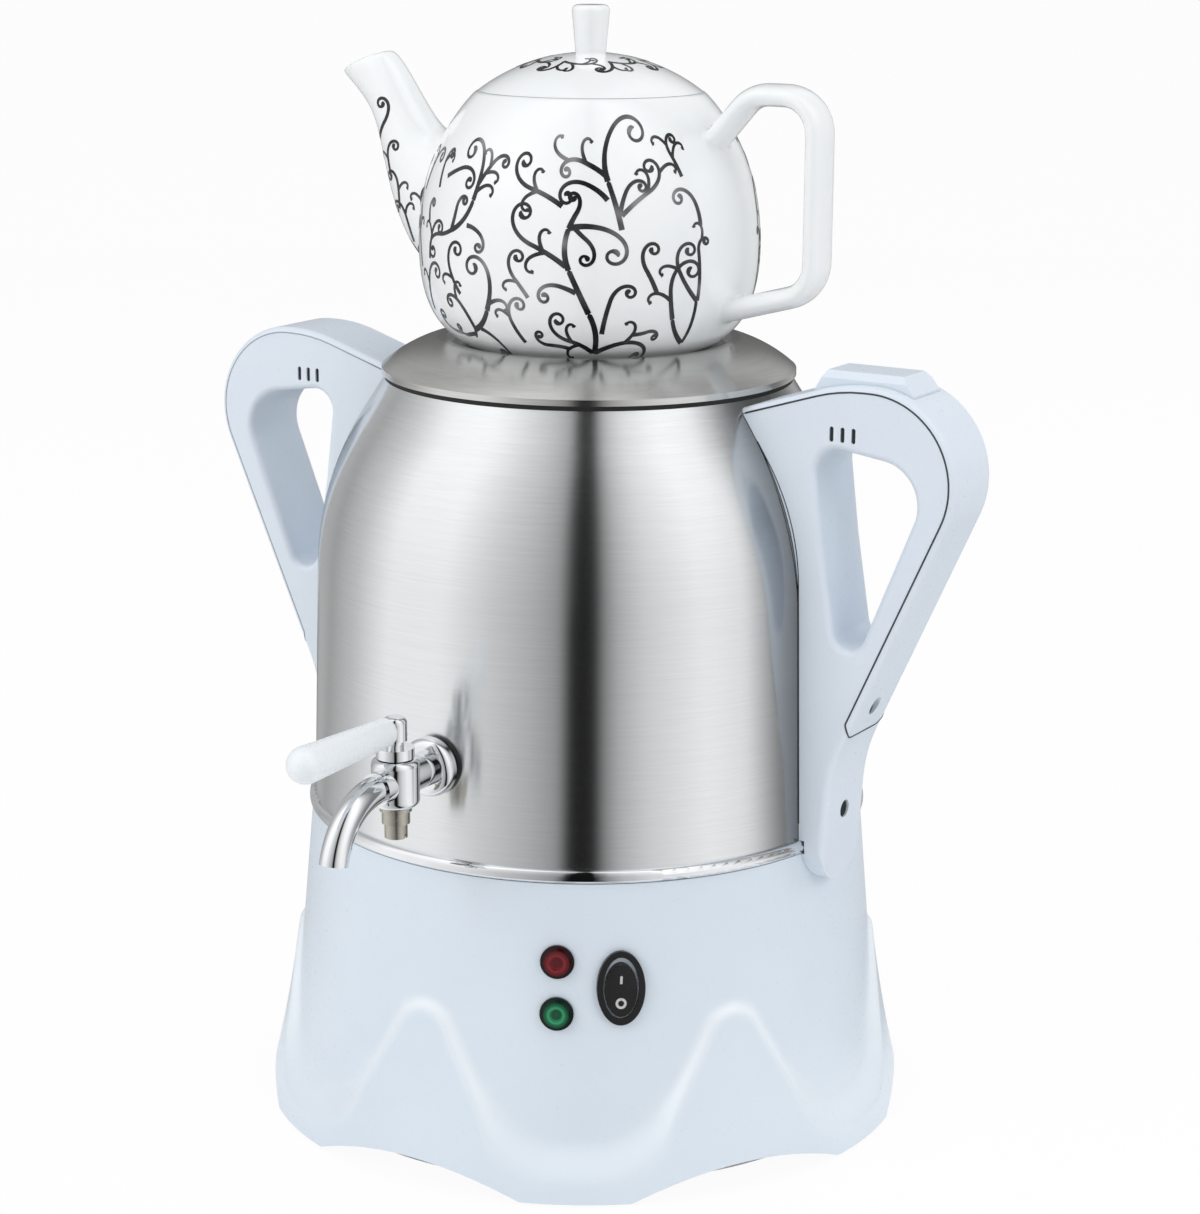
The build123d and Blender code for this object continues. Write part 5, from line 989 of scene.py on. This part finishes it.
def seam_points():
    """Line of the joint between handle and cover: down one side, round the lower end and up the other."""
    line = handle_line(SEAM_GAP)
    back = handle_line(COVER)
    corner = (HANDLE_WIDTH - COVER_FLAT) / 2
    bends = (CREST_RADIUS, HANDLE_BEND + SEAM_GAP, ELBOW_RADIUS)
    curve = rounded(line, bends, 4.0, 0.82)
    flat = [q for q in curve if q[0] > SEAM_START and q[1] > COVER_TIP + corner]
    edge_x = line[2][0] - (line[2][1] - COVER_TIP - corner) * math.tan(handle_lean)
    flat.append((edge_x, COVER_TIP + corner))
    start = line[1][1] - HANDLE_ROOT_DROP * (HANDLE_CREST - SEAM_START) / (HANDLE_CREST - HANDLE_ROOT)
    flat.insert(0, (SEAM_START, start))
    near = [(x, near_face + SEAM_SINK, z) for x, z in flat]
    far = [(x, far_face - SEAM_SINK, z) for x, z in reversed(flat)]
    end = []
    turns = [math.radians(8 + 82 * k / 9) for k in range(10)]
    sweep = [(-COVER_FLAT / 2 - corner * math.cos(a), -corner * math.sin(a)) for a in turns]
    sweep += [(-y, z) for y, z in reversed(sweep)]
    for y, drop in sweep:
        z = COVER_TIP + corner + SEAM_GAP + drop
        over = max(0.0, abs(y) - (HANDLE_WIDTH / 2 - HANDLE_EDGE))
        round_off = HANDLE_EDGE - math.sqrt(max(0.0, HANDLE_EDGE**2 - over**2))
        x = back[2][0] - (back[2][1] - z) * math.tan(handle_lean) - round_off - SEAM_SINK
        end.append((x, y - HANDLE_SET, z))
    return near + end + far


def wall_points(face):
    """Line where a side face of the handle meets the boiler."""
    wall = rounded(WALL_PROFILE, (WALL_BEND,), 2.0)
    points = []
    for (r0, z0), (r1, z1) in zip(wall, wall[1:]):
        steps = max(1, int((z1 - z0) / 6.0))
        points += [(r0 + (r1 - r0) * k / steps, z0 + (z1 - z0) * k / steps) for k in range(steps)]
    points = [(r + WALL_LIFT, z) for r, z in points if WALL_LINE_LOW < z < WALL_LINE_HIGH]
    return [(math.sqrt(r**2 - face**2), face, z) for r, z in points]


def flip(points):
    """The same line on the left handle."""
    return [(-x, y, z) for x, y, z in points]


# Tubes in the seam gap paint its shade, darker on the right handle than on the left
seam = seam_points()
dress(tube("right_seam_shade", [seam], RIGHT_SEAM_RADIUS), "boiler", SHADE_LINE_DARK)
dress(tube("left_seam_shade", [flip(seam)], LEFT_SEAM_RADIUS), "boiler", SHADE_LINE_GREY)
# Dark tubes along the handles' contact with the wall: a painted contact shadow
walls = [wall_points(near_face + WALL_LINE_INSET), wall_points(far_face - WALL_LINE_INSET)]
dress(tube("right_wall_shadow", walls, WALL_LINE_RADIUS), "boiler", SHADE_LINE_DARK)
dress(tube("left_wall_shadow", [flip(q) for q in walls], WALL_LINE_RADIUS), "boiler", SHADE_LINE_DARK)

VENT_X, VENT_Z, VENT_PITCH = 114.0, 266.4, 4.2
VENT_WIDTH, VENT_HEIGHT, VENT_DEPTH = 1.6, 5.4, 3.0
VENT_GAP, VENT_SUNK = 0.02, 0.7


def vent_shade_plugs(name, hand):
    """Dark plugs at the bottom of the vent slots on both faces of a handle, painted shade in the slots."""
    verts, faces = [], []
    half, straight = VENT_WIDTH / 2 - VENT_GAP, VENT_HEIGHT / 2 - VENT_WIDTH / 2
    bow = np.linspace(-math.pi / 2, math.pi / 2, 9)
    ring = [(half * math.sin(a), straight + half * math.cos(a)) for a in bow]
    ring += [(-x, -z) for x, z in ring]
    n = len(ring)
    for step in (-1, 0, 1):
        for face, inward in ((near_face, 1), (far_face, -1)):
            first = len(verts)
            for depth in (VENT_SUNK, VENT_DEPTH - VENT_GAP):
                y = face + inward * depth
                middle = VENT_X + VENT_PITCH * step
                verts += [(hand * (middle + x) * MM, y * MM, (VENT_Z + z) * MM) for x, z in ring]
            faces.append(tuple(first + k for k in range(n)))
            faces.append(tuple(first + n + k for k in reversed(range(n))))
            for k in range(n):
                after = (k + 1) % n
                faces.append((first + k, first + n + k, first + n + after, first + after))
    obj = add_mesh(name, verts, faces, smooth=False)
    fix_normals(obj)
    return obj


# Black plugs paint the shade inside the vent slots
dress(vent_shade_plugs("right_vent_shade", 1), "boiler", BLACK)
dress(vent_shade_plugs("left_vent_shade", -1), "boiler", BLACK)

rocker_tree = tree_of(NODES["switch_rocker"])
switch_spot, switch_out = base_spot(SWITCH_TURN, SWITCH_Z)
switch_side = Vector((math.cos(math.radians(SWITCH_TURN)), math.sin(math.radians(SWITCH_TURN)), 0.0))
switch_up = switch_out.cross(switch_side)


def on_rocker(x, y):
    """Placing on the rocker's face; x to the right and y up, from the middle of the switch."""
    start = switch_spot + switch_out * 0.03 + (switch_side * x + switch_up * y) * MM
    spot, normal, _, _ = rocker_tree.ray_cast(start, -switch_out)
    return None if spot is None else (spot, normal)


RING_RADIUS, RING_Y = 1.5, -5.6
BAR_Y, BAR_LENGTH = 1.6, 3.2
MARK_WIDTH = 0.9
round_once = np.linspace(0.0, 2 * math.pi * 1.03, 40)
circle = [(RING_RADIUS * math.sin(a), RING_Y + RING_RADIUS * math.cos(a)) for a in round_once]
bar = [(0.0, BAR_Y + BAR_LENGTH * k / 8) for k in range(9)]
mark_strokes = [(line, MARK_WIDTH, MARK_WIDTH) for line in (circle, bar)]
marks = ribbons("switch_marks", mark_strokes, on_rocker, 0.05, 0.2)
dress(marks, "rocker", MARK)

# Camera
CAMERA_AWAY = 1.053
CAMERA_HEIGHT = 0.451
CAMERA_SIDE = 0.0046
CAMERA_ROLL = 0.00637
CAMERA_PITCH = math.radians(14.12)
SENSOR = 36.0
LENS = 2896.0 / 1214.0 * SENSOR

towards = Vector((math.sin(CAMERA_TURN), -math.cos(CAMERA_TURN), 0.0))
right = Vector((math.cos(CAMERA_TURN), math.sin(CAMERA_TURN), 0.0))
camera_data = bpy.data.cameras.new("camera")
camera_data.sensor_width = SENSOR
camera_data.lens = LENS
camera = bpy.data.objects.new("camera", camera_data)
bpy.context.scene.collection.objects.link(camera)
camera.location = towards * CAMERA_AWAY + right * CAMERA_SIDE + Vector((0, 0, CAMERA_HEIGHT))
look = -towards * math.cos(CAMERA_PITCH) - Vector((0, 0, math.sin(CAMERA_PITCH)))
camera.rotation_mode = "QUATERNION"
camera.rotation_quaternion = look.to_track_quat("-Z", "Y") @ Quaternion((0, 0, 1), CAMERA_ROLL)
bpy.context.scene.camera = camera


# Floor, light and world
def add_light(name, turn, away, height, size, watts, aim=0.2):
    """Area light at an angle from the camera, aimed at the axis."""
    data = bpy.data.lights.new(name, "AREA")
    data.shape = "RECTANGLE"
    data.size, data.size_y = size
    data.energy = watts
    obj = bpy.data.objects.new(name, data)
    bpy.context.scene.collection.objects.link(obj)
    a = CAMERA_TURN + math.radians(turn)
    obj.location = Vector((math.sin(a) * away, -math.cos(a) * away, height))
    obj.rotation_mode = "QUATERNION"
    obj.rotation_quaternion = (Vector((0, 0, aim)) - obj.location).to_track_quat("-Z", "Y")
    obj.visible_glossy = False
    return obj


def direct_rays(tree):
    """Socket that is 1 for rays from the camera, off a shiny face or through a clear body, else 0."""
    path = tree.nodes.new("ShaderNodeLightPath")
    seen = path.outputs["Is Camera Ray"]
    for kind in ("Is Glossy Ray", "Is Transmission Ray"):
        either = tree.nodes.new("ShaderNodeMath")
        either.operation = "MAXIMUM"
        tree.links.new(seen, either.inputs[0])
        tree.links.new(path.outputs[kind], either.inputs[1])
        seen = either.outputs[0]
    return seen


FLOOR_HALF = 40
FLOOR_GLOW = 0.95
SKY_LOW, SKY_FULL = 0.55, 1.0
floor_corners = [(x * FLOOR_HALF, y * FLOOR_HALF, 0) for x, y in ((-1, -1), (1, -1), (1, 1), (-1, 1))]
floor = add_mesh("floor", floor_corners, [(0, 1, 2, 3)])
paper = Shader("floor_paper", Roughness=0.9)
cloud = paper.noise(paper.coords(), 3.0)
paper.colour(paper.ramp(cloud, [(0.3, srgb(244, 244, 244)), (0.7, srgb(247, 247, 247))]))
share = paper.node("ShaderNodeMath", operation="MULTIPLY")
share.inputs[1].default_value = FLOOR_GLOW
paper.link(direct_rays(paper.tree), share.inputs[0])
glow = paper.node("ShaderNodeEmission")
glow.inputs["Strength"].default_value = 1.0
mix = paper.node("ShaderNodeMixShader")
paper.link(share.outputs[0], mix.inputs[0])
paper.link(paper.bsdf.outputs[0], mix.inputs[1])
paper.link(glow.outputs[0], mix.inputs[2])
paper.link(mix.outputs[0], paper.out.inputs[0])
floor.data.materials.append(paper.mat)

world = bpy.data.worlds.new("studio")
bpy.context.scene.world = world
world.use_nodes = True
tree = world.node_tree
tree.nodes.clear()
world_out = tree.nodes.new("ShaderNodeOutputWorld")
sky = tree.nodes.new("ShaderNodeBackground")
sky.inputs["Color"].default_value = (1.0, 1.0, 1.0, 1.0)
level = tree.nodes.new("ShaderNodeMapRange")
level.inputs["To Min"].default_value = SKY_LOW
level.inputs["To Max"].default_value = SKY_FULL
tree.links.new(direct_rays(tree), level.inputs["Value"])
tree.links.new(level.outputs["Result"], sky.inputs["Strength"])
tree.links.new(sky.outputs[0], world_out.inputs[0])

add_light("key", -60, 1.9, 1.4, (1.2, 1.4), 15)
add_light("fill", 50, 1.9, 1.2, (1.2, 1.4), 7)
add_light("top", 0, 0.3, 2.0, (1.4, 1.4), 7)
add_light("side", 106, 1.9, 1.0, (1.2, 1.4), 10)

# Studio surround that only reflections see: pale at left and right, dark grey behind, a dark gap in front
SURROUND = [
    (-180, 0.10), (-166, 0.16), (-152, 0.40), (-140, 0.40), (-131, 0.35), (-108, 0.56), (-87, 0.90),
    (-60, 0.90), (-38, 0.62), (-22, 0.46), (-11, 0.32), (-6.5, 0.006), (3.5, 0.006), (6.5, 0.22), (12, 0.44),
    (23, 0.66), (46, 0.90), (66, 0.86), (82, 0.44), (94, 0.20), (125, 0.22), (140, 0.42), (152, 0.44),
    (166, 0.16), (180, 0.10),
]
BOWL_RADIUS, BOWL_Z = 2600.0, 1.5
bowl = [(reach, BOWL_Z) for reach in (150.0, 300.0, 600.0, 1200.0, BOWL_RADIUS)]
for rise in range(5, 90, 5):
    a = math.radians(rise)
    bowl.append((BOWL_RADIUS * math.cos(a), BOWL_Z + BOWL_RADIUS * math.sin(a)))
bowl.append((0.0, BOWL_RADIUS + BOWL_Z))
surround = lathe("surround", bowl, 96)
surround.rotation_euler = (0.0, 0.0, CAMERA_TURN)
surround.visible_camera = False
surround.visible_diffuse = False
surround.visible_shadow = False
surround.visible_transmission = False
tone = Shader("surround")
shades = tone.tones_round(SURROUND)
lamp_level = tone.spread(tone.axes()["Z"], 1.15, 1.5, 0.0, 2.6)
lamp_glow = tone.node("ShaderNodeEmission")
tone.link(shades, lamp_glow.inputs["Color"])
tone.link(lamp_level, lamp_glow.inputs["Strength"])
tone.link(lamp_glow.outputs[0], tone.out.inputs[0])
surround.data.materials.append(tone.mat)

bpy.context.scene.view_settings.view_transform = "Standard"
